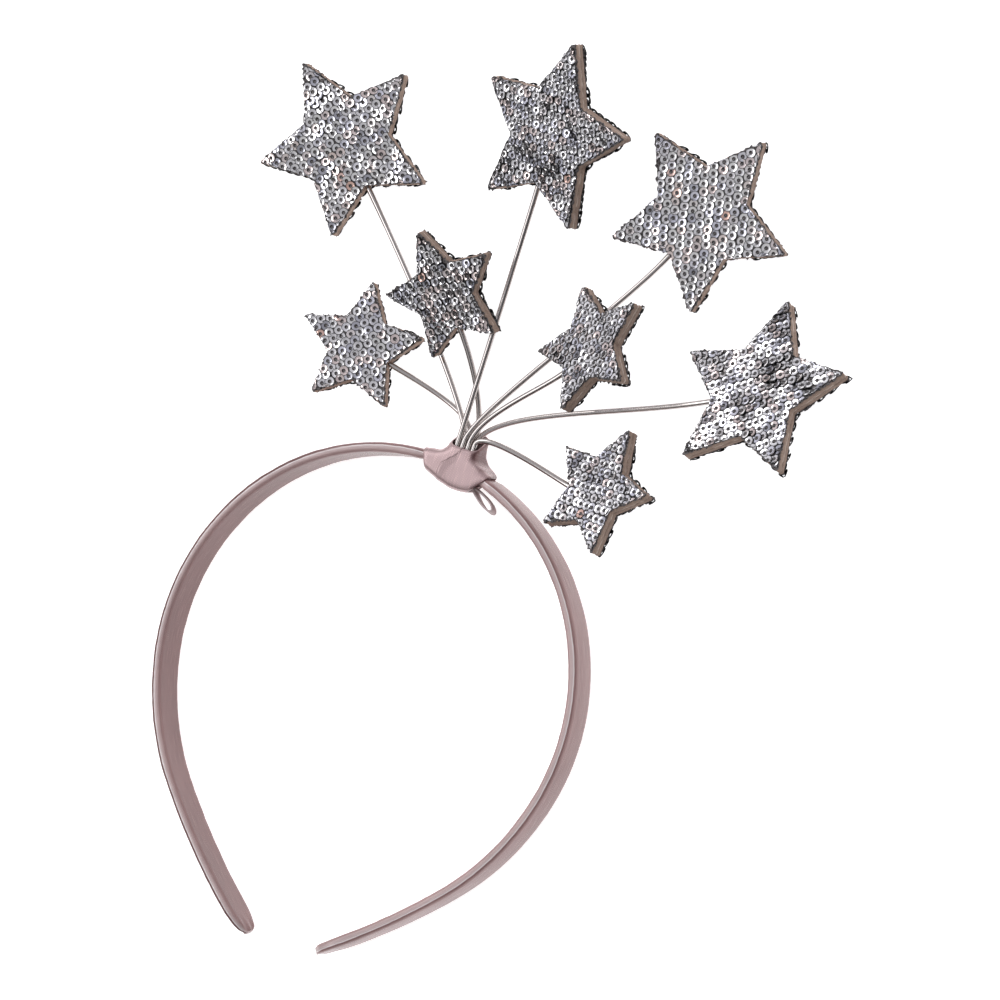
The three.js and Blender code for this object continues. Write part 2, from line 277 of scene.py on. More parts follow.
class Graph:
    """Adds nodes to one node tree."""

    def __init__(self, tree):
        self.tree = tree

    @staticmethod
    def _socket(sockets, key):
        if isinstance(key, int):
            return sockets[key]
        return next(socket for socket in sockets if socket.name == key and socket.enabled)

    def add(self, kind, settings=None, sockets=None):
        """New node of a kind, its settings first, then the values or links of its sockets."""
        node = self.tree.nodes.new(kind)
        for key, setting in (settings or {}).items():
            if key == "stops":
                self._set_stops(node.color_ramp, setting)
            else:
                setattr(node, key, setting)
        for key, given in (sockets or {}).items():
            socket = self._socket(node.inputs, key)
            if isinstance(given, Value):
                self.tree.links.new(given.socket, socket)
            else:
                socket.default_value = given
        return node

    @staticmethod
    def _set_stops(ramp, stops):
        while len(ramp.elements) > 1:
            ramp.elements.remove(ramp.elements[-1])
        for index, (place, colour) in enumerate(stops):
            element = ramp.elements[0] if index == 0 else ramp.elements.new(place)
            element.position = place
            element.color = colour

    def out(self, node, key=0):
        return Value(self, self._socket(node.outputs, key))

    def value(self, kind, settings=None, sockets=None, key=0):
        return self.out(self.add(kind, settings, sockets), key)

    def math(self, operation, *operands):
        return self.value("ShaderNodeMath", {"operation": operation}, dict(enumerate(operands)))

    def vector_math(self, operation, *operands, key=0):
        return self.value("ShaderNodeVectorMath", {"operation": operation}, dict(enumerate(operands)), key)

    def mix(self, share, first, second, blend_type="MIX"):
        """Colour between two colours."""
        settings = {"data_type": "RGBA", "blend_type": blend_type}
        return self.value("ShaderNodeMix", settings, {"Factor": share, "A": first, "B": second}, "Result")

    def axes(self, vector):
        """The X, Y and Z of a vector."""
        node = self.add("ShaderNodeSeparateXYZ", None, {"Vector": vector})
        return [self.out(node, key) for key in "XYZ"]

    def vector(self, x, y, z):
        return self.value("ShaderNodeCombineXYZ", None, {"X": x, "Y": y, "Z": z})

    def attribute(self, name):
        """Value that a piece's own points carry."""
        return self.value("ShaderNodeAttribute", {"attribute_name": name}, None, "Fac")

    def place(self):
        """Place on a piece, in metres."""
        return self.value("ShaderNodeTexCoord", None, None, "Object")

    def weave(self):
        """Place on a strip's own UV map, in metres across and along it."""
        return self.value("ShaderNodeUVMap", {"uv_map": "Weave"})

    def grain(self, vector, size, detail=2.0, key=0):
        """Noise with grains of one size."""
        return self.value("ShaderNodeTexNoise", None, {
            "Vector": vector, "Scale": 1 / size, "Detail": detail,
        }, key)

    def long_grain(self, vector, width, length, detail=2.0):
        """Noise whose grains have one size across a strip and another along it."""
        scale = (1 / width, 1 / length, 1.0)
        mapped = self.value("ShaderNodeMapping", None, {"Vector": vector, "Scale": scale})
        return self.grain(mapped, 1.0, detail)

    def bump(self, height, strength, distance):
        return self.value("ShaderNodeBump", None, {
            "Height": height, "Strength": strength, "Distance": distance,
        })


def rgba(colour):
    return (*colour, 1.0)


def tinted(colour, *shares):
    """Colour times one share, or times a share for each of its parts, as a node takes it."""
    parts = shares * len(colour) if len(shares) == 1 else shares
    return rgba(min(1.0, part * share) for part, share in zip(colour, parts))


def new_material(name, constants):
    """Material with a Principled shader whose constant sockets are set, with its graph."""
    material = bpy.data.materials.new(name)
    material.use_nodes = True
    shader = material.node_tree.nodes["Principled BSDF"]
    for key, constant in constants.items():
        shader.inputs[key].default_value = constant
    return material, Graph(material.node_tree)


def feed(graph, links):
    """Links values to the sockets of the graph's Principled shader."""
    shader = graph.tree.nodes["Principled BSDF"]
    for key, source in links.items():
        graph.tree.links.new(source.socket, shader.inputs[key])


def satin_material(name, colour, sheen_colour, weave_depth, gloss, metal):
    """Satin: long floats along the strip, a fine dotted weave across it, and a soft sheen.

    The shade attribute darkens the cloth as painted shade, and the gleam attribute is a painted highlight
    line.
    """
    float_width, float_length = 0.00022, 0.006
    cloud_width, cloud_length = 0.011, 0.0275
    dot_pitch = 0.00055
    float_tone, cloud_tone, dot_tone = 0.4, 0.5, 0.3
    deep_tone, light_tone = 0.3, 0.85
    deep, light = 0.78, 1.16
    # Colour that the painted shade multiplies toward, and the painted highlight line's colour, share and
    # added metal
    shadow = (0.3, 0.2, 0.2)
    pale = (0.98, 0.94, 0.94)
    pale_share, pale_floats = 0.8, 0.2
    gleam_metal = 0.1
    rough, float_rough, dot_rough = 0.17, 0.12, 0.04
    relief, float_relief, dot_relief = 0.00006, 0.5, 0.7
    material, graph = new_material(name, {
        "Sheen Weight": 0.03,
        "Sheen Roughness": 0.35,
        "Sheen Tint": rgba(sheen_colour),
        "Specular IOR Level": gloss,
    })
    uv = graph.weave()
    floats = graph.long_grain(uv, float_width, float_length)
    clouds = graph.long_grain(uv, cloud_width, cloud_length)
    across, along, _ = graph.axes(uv)
    turn = 2 * math.pi / dot_pitch
    dots = (across * turn).math("SINE") * (along * turn).math("SINE") * 0.5 + 0.5
    tone = (floats * float_tone + clouds * cloud_tone + dots * dot_tone).clamped()
    cover = graph.mix(tone.step(deep_tone, light_tone), tinted(colour, deep), tinted(colour, light))
    # Painted shade multiplies the cloth by the shade attribute; the gleam attribute mixes in the painted
    # highlight.
    shaded = graph.mix(graph.attribute("shade"), cover, rgba(shadow), "MULTIPLY")
    gleam = graph.attribute("gleam")
    feed(graph, {
        "Base Color": graph.mix(gleam * (pale_share + floats * pale_floats), shaded, rgba(pale)),
        "Metallic": metal + gleam * gleam_metal,
        "Roughness": rough + floats * float_rough + dots * dot_rough,
        "Normal": graph.bump(floats * float_relief + dots * dot_relief, weave_depth, relief),
    })
    return material


def silver_material(name, colour):
    """Bright drawn wire with faint lines along it."""
    line_width, line_length = 0.0005, 0.02
    line_detail = 3.0
    line_start, line_full = 0.35, 0.7
    edge, bright = 0.85, 1.05
    rough, line_rough = 0.07, 0.06
    relief, relief_share = 0.00004, 0.05
    material, graph = new_material(name, {"Metallic": 1.0, "Specular Tint": tinted(colour, edge)})
    lines = graph.long_grain(graph.weave(), line_width, line_length, line_detail)
    feed(graph, {
        "Base Color": graph.mix(lines.step(line_start, line_full), rgba(colour), tinted(colour, bright)),
        "Roughness": rough + lines * line_rough,
        "Normal": graph.bump(lines, relief_share, relief),
    })
    return material


def foam_material(name, colour, glue_colour):
    """Cut foam with open pores, and a pale line of glue where its two layers meet."""
    pore = 0.00035
    smear = 0.0035
    smear_detail = 3.0
    smear_start, smear_full = 0.44, 0.6
    pore_tone, cloud_tone = 0.8, 0.5
    dark = 0.6
    glue_half_width = 0.16
    rough, glue_smooth = 0.92, 0.35
    relief, relief_share = 0.00012, 0.6
    material, graph = new_material(name, {"Specular IOR Level": 0.25})
    place = graph.place()
    pores = graph.value("ShaderNodeTexVoronoi", None, {"Vector": place, "Scale": 1 / pore}, "Distance")
    clouds = graph.grain(place, smear, smear_detail)
    line = 1.0 - graph.attribute("layer").math("ABSOLUTE").step(glue_half_width / 2, glue_half_width)
    glued = line * clouds.step(smear_start, smear_full)
    tone = (pores * pore_tone + clouds * cloud_tone).clamped()
    body = graph.mix(tone, tinted(colour, dark), rgba(colour))
    feed(graph, {
        "Base Color": graph.mix(glued, body, rgba(glue_colour)),
        "Roughness": rough - glued * glue_smooth,
        "Normal": graph.bump(pores + clouds, relief_share, relief),
    })
    return material


def net_material(name, colour):
    """Fine net that carries the sequins: threads over darker gaps."""
    pitch = 0.0009
    thread_start, thread_full = 0.55, 0.9
    cloud = 1 / 260
    cloud_start, cloud_full, cloud_share = 0.4, 0.75, 0.5
    gap, shade = 0.35, 0.7
    rough, thread_smooth = 0.75, 0.2
    relief, relief_share = 0.00008, 0.5
    material, graph = new_material(name, {"Specular IOR Level": 0.3})
    uv = graph.weave()
    across, along, _ = graph.axes(uv)
    turn = math.pi / pitch
    warp, weft = ((way * turn).math("SINE").math("ABSOLUTE") for way in (across, along))
    threads = warp.math("MAXIMUM", weft).step(thread_start, thread_full)
    clouds = graph.long_grain(uv, cloud, cloud).step(cloud_start, cloud_full)
    body = graph.mix(threads, tinted(colour, gap), rgba(colour))
    feed(graph, {
        "Base Color": graph.mix(clouds * cloud_share, body, tinted(colour, shade)),
        "Roughness": rough - threads * thread_smooth,
        "Normal": graph.bump(threads, relief_share, relief),
    })
    return material


def sequin_material(name, colour):
    """Bright metallised film with painted shade at its cut edges; a few sequins are bluer, pinker or
    darker.
    """
    crinkle = 0.0007
    crinkle_detail = 1.0
    cut_start, cut_full = 0.6, 0.85
    # Painted shade at the cut edges: the dark outlines between overlapping sequins and round the hole
    painted_outline_shade = 0.04
    rough, film_rough, cut_rough = 0.1, 0.1, 0.2
    relief, relief_share = 0.00005, 0.25
    tints = table(
        "place red green blue",
        (0.0, 0.44, 0.445, 0.49),
        (0.1, 0.88, 0.89, 0.98),
        (0.3, 1.0, 1.0, 1.0),
        (0.75, 1.0, 1.0, 1.0),
        (0.9, 0.98, 0.86, 0.82),
        (0.99, 0.98, 0.86, 0.82),
        (0.995, 0.95, 0.66, 0.56),
    )
    material, graph = new_material(name, {"Metallic": 1.0})
    cut = graph.attribute("cut").step(cut_start, cut_full)
    hue = graph.value("ShaderNodeValToRGB", {"stops": [
        (tint["place"], tinted(colour, tint["red"], tint["green"], tint["blue"])) for tint in tints
    ]}, {"Fac": graph.attribute("tone")}, "Color")
    film = graph.grain(graph.place(), crinkle, crinkle_detail)
    feed(graph, {
        "Base Color": graph.mix(cut, hue, tinted(colour, painted_outline_shade)),
        "Roughness": rough + film * film_rough + cut * cut_rough,
        "Normal": graph.bump(film, relief_share, relief),
    })
    return material


def thread_material(name, colour):
    """Twisted sewing thread."""
    twist = 0.0003
    deep = 0.72
    rough, ply_rough = 0.55, 0.2
    material, graph = new_material(name, {"Specular IOR Level": 0.35})
    plies = graph.grain(graph.place(), twist)
    feed(graph, {
        "Base Color": graph.mix(plies, tinted(colour, deep), rgba(colour)),
        "Roughness": rough + plies * ply_rough,
    })
    return material


def floor_material(name, colour, glow):
    """Pale studio floor that hardly shows a shadow."""
    cloud = 0.25
    shade = 0.985
    rough, cloud_rough = 0.8, 0.1
    material, graph = new_material(name, {
        "Specular IOR Level": 0.1,
        "Emission Color": rgba(colour),
        "Emission Strength": glow,
    })
    clouds = graph.grain(graph.place(), cloud)
    feed(graph, {
        "Base Color": graph.mix(clouds, tinted(colour, shade), rgba(colour)),
        "Roughness": rough + clouds * cloud_rough,
    })
    return material


def smooth_step(value, low, high):
    share = min(max((value - low) / (high - low), 0.0), 1.0)
    return share * share * (3 - 2 * share)


def blend(first, second, share):
    return first + (second - first) * share


def waver(x, y, z):
    """Smooth random number from -1 to 1, always the same at a place."""
    return noise.noise(Vector((x, y, z)))


def table_at(rows, key, value, column):
    """Value of a table's column between its rows."""
    if value <= rows[0][key]:
        return rows[0][column]
    for lower, upper in zip(rows, rows[1:]):
        if value <= upper[key]:
            share = (value - lower[key]) / (upper[key] - lower[key])
            return blend(lower[column], upper[column], smooth_step(share, 0.0, 1.0))
    return rows[-1][column]


def arch_frame(along):
    """Place on the centre line and the way outward there, so far along it from the top of the arch."""
    side = -1 if along < 0 else 1
    x = y = heading = 0.0
    left = abs(along)
    for index, arc in enumerate(ARM_ARCS):
        is_last = index == len(ARM_ARCS) - 1
        run = left if is_last else min(left, arc["length"])
        turned = heading + run / arc["radius"]
        x += arc["radius"] * (math.sin(turned) - math.sin(heading))
        y += arc["radius"] * (math.cos(turned) - math.cos(heading))
        heading = turned
        left -= run
    place = Vector((side * x, y, 0.0))
    outward = Vector((side * math.sin(heading), math.cos(heading), 0.0))
    return place, outward


def band_point(along, outward, height):
    """Point beside the centre line, in the headband's own frame."""
    place, direction = arch_frame(along)
    return CROWN + place + direction * outward + Vector((0.0, 0.0, height))


def rounded_rectangle(half_x, half_y, radius):
    """Points of a rectangle with round corners about its middle, counter-clockwise from its right side."""
    corners = ((1, 1), (-1, 1), (-1, -1), (1, -1))

    def corner_point(corner, share):
        sign_x, sign_y = corners[corner % len(corners)]
        angle = math.pi / 2 * (corner + share)
        middle = Vector((sign_x * (half_x - radius), sign_y * (half_y - radius)))
        return middle + radius * Vector((math.cos(angle), math.sin(angle)))

    points = []
    for corner in range(len(corners)):
        points.extend(corner_point(corner, step / CORNER_STEPS) for step in range(CORNER_STEPS + 1))
        start, target = points[-1], corner_point(corner + 1, 0.0)
        points.extend(start.lerp(target, step / SIDE_STEPS) for step in range(1, SIDE_STEPS))
    return points


def link(name, mesh, *materials):
    """New object for a mesh whose vertices are already in place."""
    made = bpy.data.objects.new(name, mesh)
    bpy.context.scene.collection.objects.link(made)
    for material in materials:
        mesh.materials.append(material)
    return made


def mesh_from(work, name):
    """Plain mesh of what is in a bmesh, which is freed."""
    mesh = bpy.data.meshes.new(name)
    work.to_mesh(mesh)
    work.free()
    return mesh


def point_attribute(mesh, name, values):
    """Gives the first points of a mesh a value each; the rest keep 0."""
    attribute = mesh.attributes.new(name, "FLOAT", "POINT")
    for item, value in zip(attribute.data, values):
        item.value = value


def skin_mesh(name, rings, across, along, closed=True):
    """Skin through rings of points, with a UV map in metres across and along the strip.

    Closed rings get a cap at each end, and open ones make an open strip.
    """
    count = len(rings[0])
    work = bmesh.new()
    layer = work.loops.layers.uv.new("Weave")
    verts = [[work.verts.new(point) for point in ring] for ring in rings]
    for ring in range(len(rings) - 1):
        for point in range(count if closed else count - 1):
            following = (point + 1) % count
            face = work.faces.new((
                verts[ring][point], verts[ring][following],
                verts[ring + 1][following], verts[ring + 1][point],
            ))
            places = ((point, ring), (point + 1, ring), (point + 1, ring + 1), (point, ring + 1))
            for loop, (column, row) in zip(face.loops, places):
                loop[layer].uv = (across[column], along[row])
    if closed:
        for ring in (0, len(rings) - 1):
            middle = work.verts.new(sum((vert.co for vert in verts[ring]), Vector()) / count)
            for point in range(count):
                face = work.faces.new((verts[ring][(point + 1) % count], verts[ring][point], middle))
                for loop in face.loops:
                    loop[layer].uv = (across[point], along[ring])
        bmesh.ops.recalc_face_normals(work, faces=work.faces)
    mesh = mesh_from(work, name)
    mesh.shade_smooth()
    return mesh


def plain_loft(name, rings):
    """Closed skin whose UV map isn't used."""
    return skin_mesh(name, rings, [0.0] * (len(rings[0]) + 1), [0.0] * len(rings))


def running_lengths(points):
    """Distance along a line of points, starting at 0."""
    lengths = [0.0]
    for first, second in zip(points, points[1:]):
        lengths.append(lengths[-1] + (second - first).length)
    return lengths


def apply_modifiers(made):
    """Turns an object's modifiers into its plain mesh."""
    evaluated = made.evaluated_get(bpy.context.evaluated_depsgraph_get())
    mesh = bpy.data.meshes.new_from_object(evaluated)
    made.modifiers.clear()
    made.data = mesh
    return made


def keep_off_floor(mesh):
    """Lifts what a loose edge would push through the surface that the headband lies on."""
    for vertex in mesh.vertices:
        vertex.co.z = max(vertex.co.z, 0.0)


def own(piece, slot, *nodes):
    """The calls that every finished piece gets: its body and the solids that it stands for; its slot is not
    used.
    """
    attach(piece, BODY)
    if nodes:
        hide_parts(*nodes)
    return piece


def length_setting(name, description, default):
    return FloatProperty(name=name, description=description, unit="LENGTH", default=default)


def colour_setting(name, description, default):
    return FloatVectorProperty(name=name, description=description, subtype="COLOR", size=3, default=default)


class HeadbandBand(bpy.types.PropertyGroup):
    """Sizes and colour of the satin band"""

    width: length_setting("Width", "Width of the band", BAND_HIGH.z - BAND_LOW.z)
    thickness: length_setting("Thickness", "Thickness of the padded strip", 0.0028)
    rim_radius: length_setting("Rim radius", "Roundness of its inner rims", 0.001)
    step: length_setting("Step", "Distance between its rings", 0.0012)
    pucker: length_setting("Pucker", "Height of the small puckers along the rims", 0.00009)
    crease: length_setting("Crease", "Depth of the lengthwise crease outside", 0.00009)
    colour: colour_setting("Satin", "Colour of the satin", (0.455, 0.293, 0.286))
    sheen: colour_setting("Sheen", "Colour of its sheen", (0.9, 0.82, 0.84))


class HeadbandRibbon(bpy.types.PropertyGroup):
    """Sizes and colour of the tied ribbon"""

    width: length_setting("Width", "Width of the ribbon", 0.012)
    thickness: length_setting("Thickness", "Thickness of the ribbon", 0.0005)
    wall: length_setting("Wall", "Thickness of the wound layers", 0.0006)
    voxel: length_setting("Fineness", "Grain of the wound form", 0.0003)
    wave: length_setting("Wave", "Height of the slow waves in the last turn", 0.00007)
    stitches: IntProperty(name="Stitches", description="Stitches along the last turn's edge", default=12)
    colour: colour_setting("Ribbon", "Colour of the ribbon", (0.585, 0.42, 0.425))


class HeadbandWires(bpy.types.PropertyGroup):
    """Size and colour of the wires"""

    diameter: length_setting("Diameter", "Thickness of a wire", 0.0015)
    sides: IntProperty(name="Sides", description="Sides of a wire's section", default=16)
    colour: colour_setting("Wire", "Colour of the metal", (0.56, 0.52, 0.505))


class HeadbandStars(bpy.types.PropertyGroup):
    """Sizes and colours of the padded stars"""

    foam: length_setting("Foam", "Thickness of the foam", 0.003)
    cloth: length_setting("Cloth", "Thickness of the net", 0.00025)
    sequin: length_setting("Sequin", "Diameter of a sequin", 0.0029)
    hole: length_setting("Hole", "Diameter of its hole", 0.0009)
    pitch: length_setting("Pitch", "Distance between sequins in a row", 0.0021)
    row_pitch: length_setting("Row pitch", "Distance between rows", 0.0024)
    foam_colour: colour_setting("Foam colour", "Colour of the cut edge", (0.45, 0.33, 0.27))
    glue_colour: colour_setting("Glue", "Colour of the glue between the layers", (0.72, 0.6, 0.52))
    # The net is kept near black, so that where it shows in sequin holes and gaps it is painted shade
    net_colour: colour_setting("Net", "Colour of the net", (0.15, 0.135, 0.135))
    sequin_colour: colour_setting("Sequins", "Colour of the film", (0.88, 0.87, 0.89))


class HeadbandStage(bpy.types.PropertyGroup):
    """Floor, light and lens"""

    floor: colour_setting("Floor", "Colour of the floor", (0.93, 0.93, 0.93))
    floor_glow: FloatProperty(name="Floor glow", description="Light that the floor gives", default=0.8)
    room: FloatProperty(name="Room", description="Brightness of the room's left side", default=0.73)
    softbox: FloatProperty(name="Softbox", description="Brightness of the overhead softbox", default=3.2)
    side_softbox: FloatProperty(
        name="Side softbox", description="Brightness of the left softbox", default=3.4)
    lens_softbox: FloatProperty(
        name="Lens softbox", description="Brightness of the softbox beside the lens", default=2.2)
    fill: FloatProperty(name="Fill", description="Brightness of the fill in front", default=0.5)
    lens: FloatProperty(name="Lens", description="Focal length in millimetres", default=126.5)


class HeadbandSettings(bpy.types.PropertyGroup):
    """All settings of the headband"""

    band: PointerProperty(type=HeadbandBand)
    ribbon: PointerProperty(type=HeadbandRibbon)
    wires: PointerProperty(type=HeadbandWires)
    stars: PointerProperty(type=HeadbandStars)
    stage: PointerProperty(type=HeadbandStage)


def band_stations(step):
    """Distances along the band where its rings lie, closer together in the tongues."""
    tongue_steps = 14
    tongue = [
        TONGUE_END + (TONGUE_LENGTH - TONGUE_END) * (1 - math.cos(math.pi / 2 * index / tongue_steps))
        for index in range(tongue_steps)
    ]
    start = LEFT_END + TONGUE_LENGTH
    end = RIGHT_END - TONGUE_LENGTH
    count = math.ceil((end - start) / step)
    return [
        *(LEFT_END + distance for distance in tongue),
        *(blend(start, end, index / count) for index in range(count + 1)),
        *(RIGHT_END - distance for distance in reversed(tongue)),
    ]


def band_outline(half_thickness, half_width, radius):
    """Section of the band, counter-clockwise: a domed outside and a flat head side with round corners."""
    dome_steps = 26
    rim_steps = 4
    corner_steps = 7
    face_steps = 10
    flatness = 0.3
    crown = 0.6
    points = []
    for step in range(dome_steps):
        angle = math.pi * (step / dome_steps - 0.5)
        rise = math.copysign(abs(math.sin(angle)) ** flatness, angle)
        points.append(Vector((half_thickness * math.cos(angle) ** crown, half_width * rise)))
    dome_end = points[-1].x
    inner = radius - half_thickness
    face = half_width - radius
    for step in range(1, rim_steps):
        points.append(Vector((blend(dome_end, inner, step / rim_steps), half_width)))
    corner = []
    for step in range(corner_steps + 1):
        angle = math.pi / 2 * step / corner_steps
        corner.append(Vector((inner - radius * math.sin(angle), face + radius * math.cos(angle))))
    points.extend(corner)
    for step in range(1, face_steps):
        points.append(Vector((-half_thickness, blend(face, -face, step / face_steps))))
    points.extend(Vector((point.x, -point.y)) for point in reversed(corner))
    return points


def band_ring(along, band):
    """Points of the band's skin round one place, in the headband's frame."""
    seam = {"drop": 0.0021, "half_width": 0.0005, "follow": 0.7, "base": 0.7, "wave": 0.6}
    gather = {"run": 0.006, "pitch": 0.0005, "lift": 2.2, "sway": 3}
    grain_size, grain_depth = 0.0016, 0.004
    wave = {"length": 0.007, "width": 0.01, "seed": 4.0, "lift": 0.6}
    rim_start, rim_full = 0.66, 0.95
    rim_room = 0.98
    from_pinch = max(PINCH["start"] - along, along - PINCH["end"], 0.0)
    pinch = 1 - smooth_step(from_pinch, 0.0, PINCH["fade"])
    from_tip = min(along - LEFT_END, RIGHT_END - along, TONGUE_LENGTH)
    tongue = math.sqrt(1 - (1 - from_tip / TONGUE_LENGTH) ** 2)
    half_width = tongue * blend(band.width / 2, PINCH["half_width"], pinch)
    half_thickness = blend(TONGUE_END_SHARE, 1.0, tongue)
    half_thickness *= blend(band.thickness / 2, PINCH["half_thickness"], pinch)
    radius = min(band.rim_radius * half_thickness / (band.thickness / 2), half_width) * rim_room
    gathered = 1 - smooth_step(from_tip, 0.0, gather["run"])
    seam_place = half_width - seam["drop"] * blend(1.0, half_width / (band.width / 2), seam["follow"])
    ring = []
    for point in band_outline(half_thickness, half_width, radius):
        grain = waver(along / grain_size, point.y / grain_size, point.x / grain_depth)
        slow = waver(along / wave["length"], point.y / wave["width"], wave["seed"])
        rim = smooth_step(abs(point.y) / half_width, rim_start, rim_full)
        lift = rim * grain + wave["lift"] * slow
        lift += gather["lift"] * gathered * math.sin(point.y / gather["pitch"] + gather["sway"] * slow)
        side = 1 if point.x > 0 else -1
        outward = point.x + side * band.pucker * lift
        if side > 0:
            depth = 1 - smooth_step(abs(point.y - seam_place), 0.0, seam["half_width"])
            outward -= band.crease * depth * (seam["base"] + seam["wave"] * slow)
        height = max(band.width / 2 + point.y, 0.0)
        ring.append(band_point(along, outward, height))
    return ring


class HEADBAND_OT_band(bpy.types.Operator):
    """Make the satin-covered band"""

    bl_idname = "headband.band"
    bl_label = "Band"

    def execute(self, context):
        band = context.scene.headband.band
        stations = band_stations(band.step)
        rings = [band_ring(along, band) for along in stations]
        middle = rings[len(rings) // 2]
        across = running_lengths([*middle, middle[0]])
        mesh = skin_mesh("band_satin", rings, across, stations)
        section = band_outline(band.thickness / 2, band.width / 2, band.rim_radius)
        # Painted shade and a painted highlight line at each point, with the left arm's painted shade line
        # and shift
        shades, gleams = [], []
        for along in stations:
            left_paint = 1 - smooth_step(along, LEFT_PAINT_FULL, LEFT_PAINT_START)
            for point in section:
                out = point.x / (band.thickness / 2)
                out += left_paint * LEFT_PAINT_SHIFT * smooth_step(out, RIM_START, RIM_FULL)
                seam = left_paint * table_at(BAND_PAINTED_LIGHT, "out", out, "seam")
                shades.append(table_at(BAND_PAINTED_LIGHT, "out", out, "shade") + seam)
                gleams.append(table_at(BAND_PAINTED_LIGHT, "out", out, "gleam"))
        point_attribute(mesh, "shade", shades)
        point_attribute(mesh, "gleam", gleams)
        satin = satin_material(
            "band_satin", band.colour, band.sheen, weave_depth=0.18, gloss=0.25, metal=0.06)
        piece = own(link("band_satin", mesh, satin), "band_satin", "band")
        return {"FINISHED"}


def wound_rings(wall):
    """Rings of the wound part of the wrap, drawn in by a wall."""
    rings = []
    for section in WOUND_SECTIONS:
        middle = (section["outer"] - section["inner"]) / 2
        half = (section["outer"] + section["inner"]) / 2
        ring = []
        for point in rounded_rectangle(half - wall, WRAP_HALF_HEIGHT - wall, WRAP_CORNER - wall):
            outward = middle + point.x
            along = section["along"] + section["slant"] * outward
            along += section["pull"] * (point.y - WRAP_HALF_HEIGHT)
            ring.append(band_point(along, outward, WRAP_AXIS.z + point.y))
        rings.append(ring)
    return rings


def neck_rings(sections, wall):
    """Rings of the wrap's neck, drawn in by a wall."""
    return [
        [
            CROWN + Vector((
                section["middle"] + point.x,
                section["rise"] - section["slant"] * point.y,
                section["height"] + point.y,
            ))
            for point in rounded_rectangle(
                section["across"] - wall, section["depth"] - wall, NECK_CORNER - wall)
        ]
        for section in sections
    ]


def hollow(made, name, rings):
    """Cuts a loft out of an object."""
    cutter = link(name, plain_loft(name, rings))
    cut = made.modifiers.new(name, "BOOLEAN")
    cut.operation = "DIFFERENCE"
    cut.solver = "EXACT"
    cut.object = cutter
    apply_modifiers(made)
    bpy.data.objects.remove(cutter)


def wrap_angle_uv(mesh):
    """UV map of the wound form: along the band and round its axis, or flat on faces that look along it."""
    axis = CROWN + WRAP_AXIS
    end_on = 0.6
    layer = mesh.uv_layers.get("Weave") or mesh.uv_layers.new(name="Weave")
    for face in mesh.polygons:
        for index in face.loop_indices:
            place = mesh.vertices[mesh.loops[index].vertex_index].co - axis
            if abs(face.normal.x) > end_on:
                layer.data[index].uv = place.yz
            else:
                layer.data[index].uv = (place.x, math.atan2(-place.y, place.z) * WRAP_HALF_HEIGHT)


class WrapForm:
    """The wound form as a target for what lies on it."""

    def __init__(self, made):
        work = bmesh.new()
        work.from_mesh(made.data)
        self.tree = BVHTree.FromBMesh(work)
        work.free()

    def point(self, x, angle, lift):
        """Point over the form, so far along the band and so far round its axis."""
        reach = 0.03
        turned = math.radians(angle)
        direction = Vector((0.0, -math.sin(turned), math.cos(turned)))
        axis = CROWN + WRAP_AXIS + Vector((x, 0.0, 0.0))
        hit = self.tree.ray_cast(axis + direction * reach, -direction)[0]
        if hit is None:
            raise RuntimeError(f"no wrap under x {x:.4f} at {angle:.0f} degrees")
        return hit + direction * lift


def wrap_form(ribbon):
    """Solid form of the wound ribbon and its neck, run into each other."""
    work = bmesh.new()
    for name, rings in (("wound", wound_rings(0.0)), ("neck", neck_rings(NECK_SECTIONS, 0.0))):
        work.from_mesh(plain_loft(name, rings))
    made = link("ribbon_wound", mesh_from(work, "ribbon_wound"))
    remesh = made.modifiers.new("join", "REMESH")
    remesh.mode = "VOXEL"
    remesh.voxel_size = ribbon.voxel
    relax = made.modifiers.new("relax", "SMOOTH")
    relax.iterations = 24
    relax.factor = 0.5
    return apply_modifiers(made)


def crossing_mesh(form, ribbon):
    """The ribbon's last turn, which crosses the wrap to the head side and runs into it on its right."""
    columns = 22
    lines = 64
    neck_fade = 34
    raised = ribbon.thickness * 0.4
    sinking = ribbon.thickness * 1.5
    waves_across = 2.4
    wave_angle = 40
    wave_seed = 7.0
    first, last = CROSSING_EDGES[0]["angle"], CROSSING_EDGES[-1]["angle"]
    rows = []
    for line in range(lines + 1):
        angle = blend(first, last, line / lines)
        left, right = (table_at(CROSSING_EDGES, "angle", angle, edge) for edge in ("left", "right"))
        toward_neck = 1 - smooth_step(angle, first, first + neck_fade)
        row = []
        for column in range(columns + 1):
            share = column / columns
            sunk = (1 - (1 - share) * (1 - toward_neck)) * sinking
            drift = waver(share * waves_across, angle / wave_angle, wave_seed) * ribbon.wave
            row.append(form.point(blend(left, right, share), angle, raised + drift - sunk))
        rows.append(row)
    across = running_lengths(rows[lines // 2])
    along = running_lengths([row[columns // 2] for row in rows])
    return skin_mesh("ribbon_crossing", rows, across, along, closed=False)


def solidify(made, thickness, offset):
    thick = made.modifiers.new("thickness", "SOLIDIFY")
    thick.thickness = thickness
    thick.offset = offset
    return apply_modifiers(made)


def tube_mesh(name, path, radius, sides):
    """Round tube along a line of points, carried without twist."""
    tangents = [
        (path[min(index + 1, len(path) - 1)] - path[max(index - 1, 0)]).normalized()
        for index in range(len(path))
    ]
    normal = tangents[0].orthogonal().normalized()
    turns = [2 * math.pi * side / sides for side in range(sides + 1)]
    rings = []
    for point, tangent in zip(path, tangents):
        normal = (normal - tangent * normal.dot(tangent)).normalized()
        other = tangent.cross(normal)
        rings.append([
            point + radius * (math.cos(turn) * normal + math.sin(turn) * other) for turn in turns[:-1]
        ])
    return skin_mesh(name, rings, [turn * radius for turn in turns], running_lengths(path))


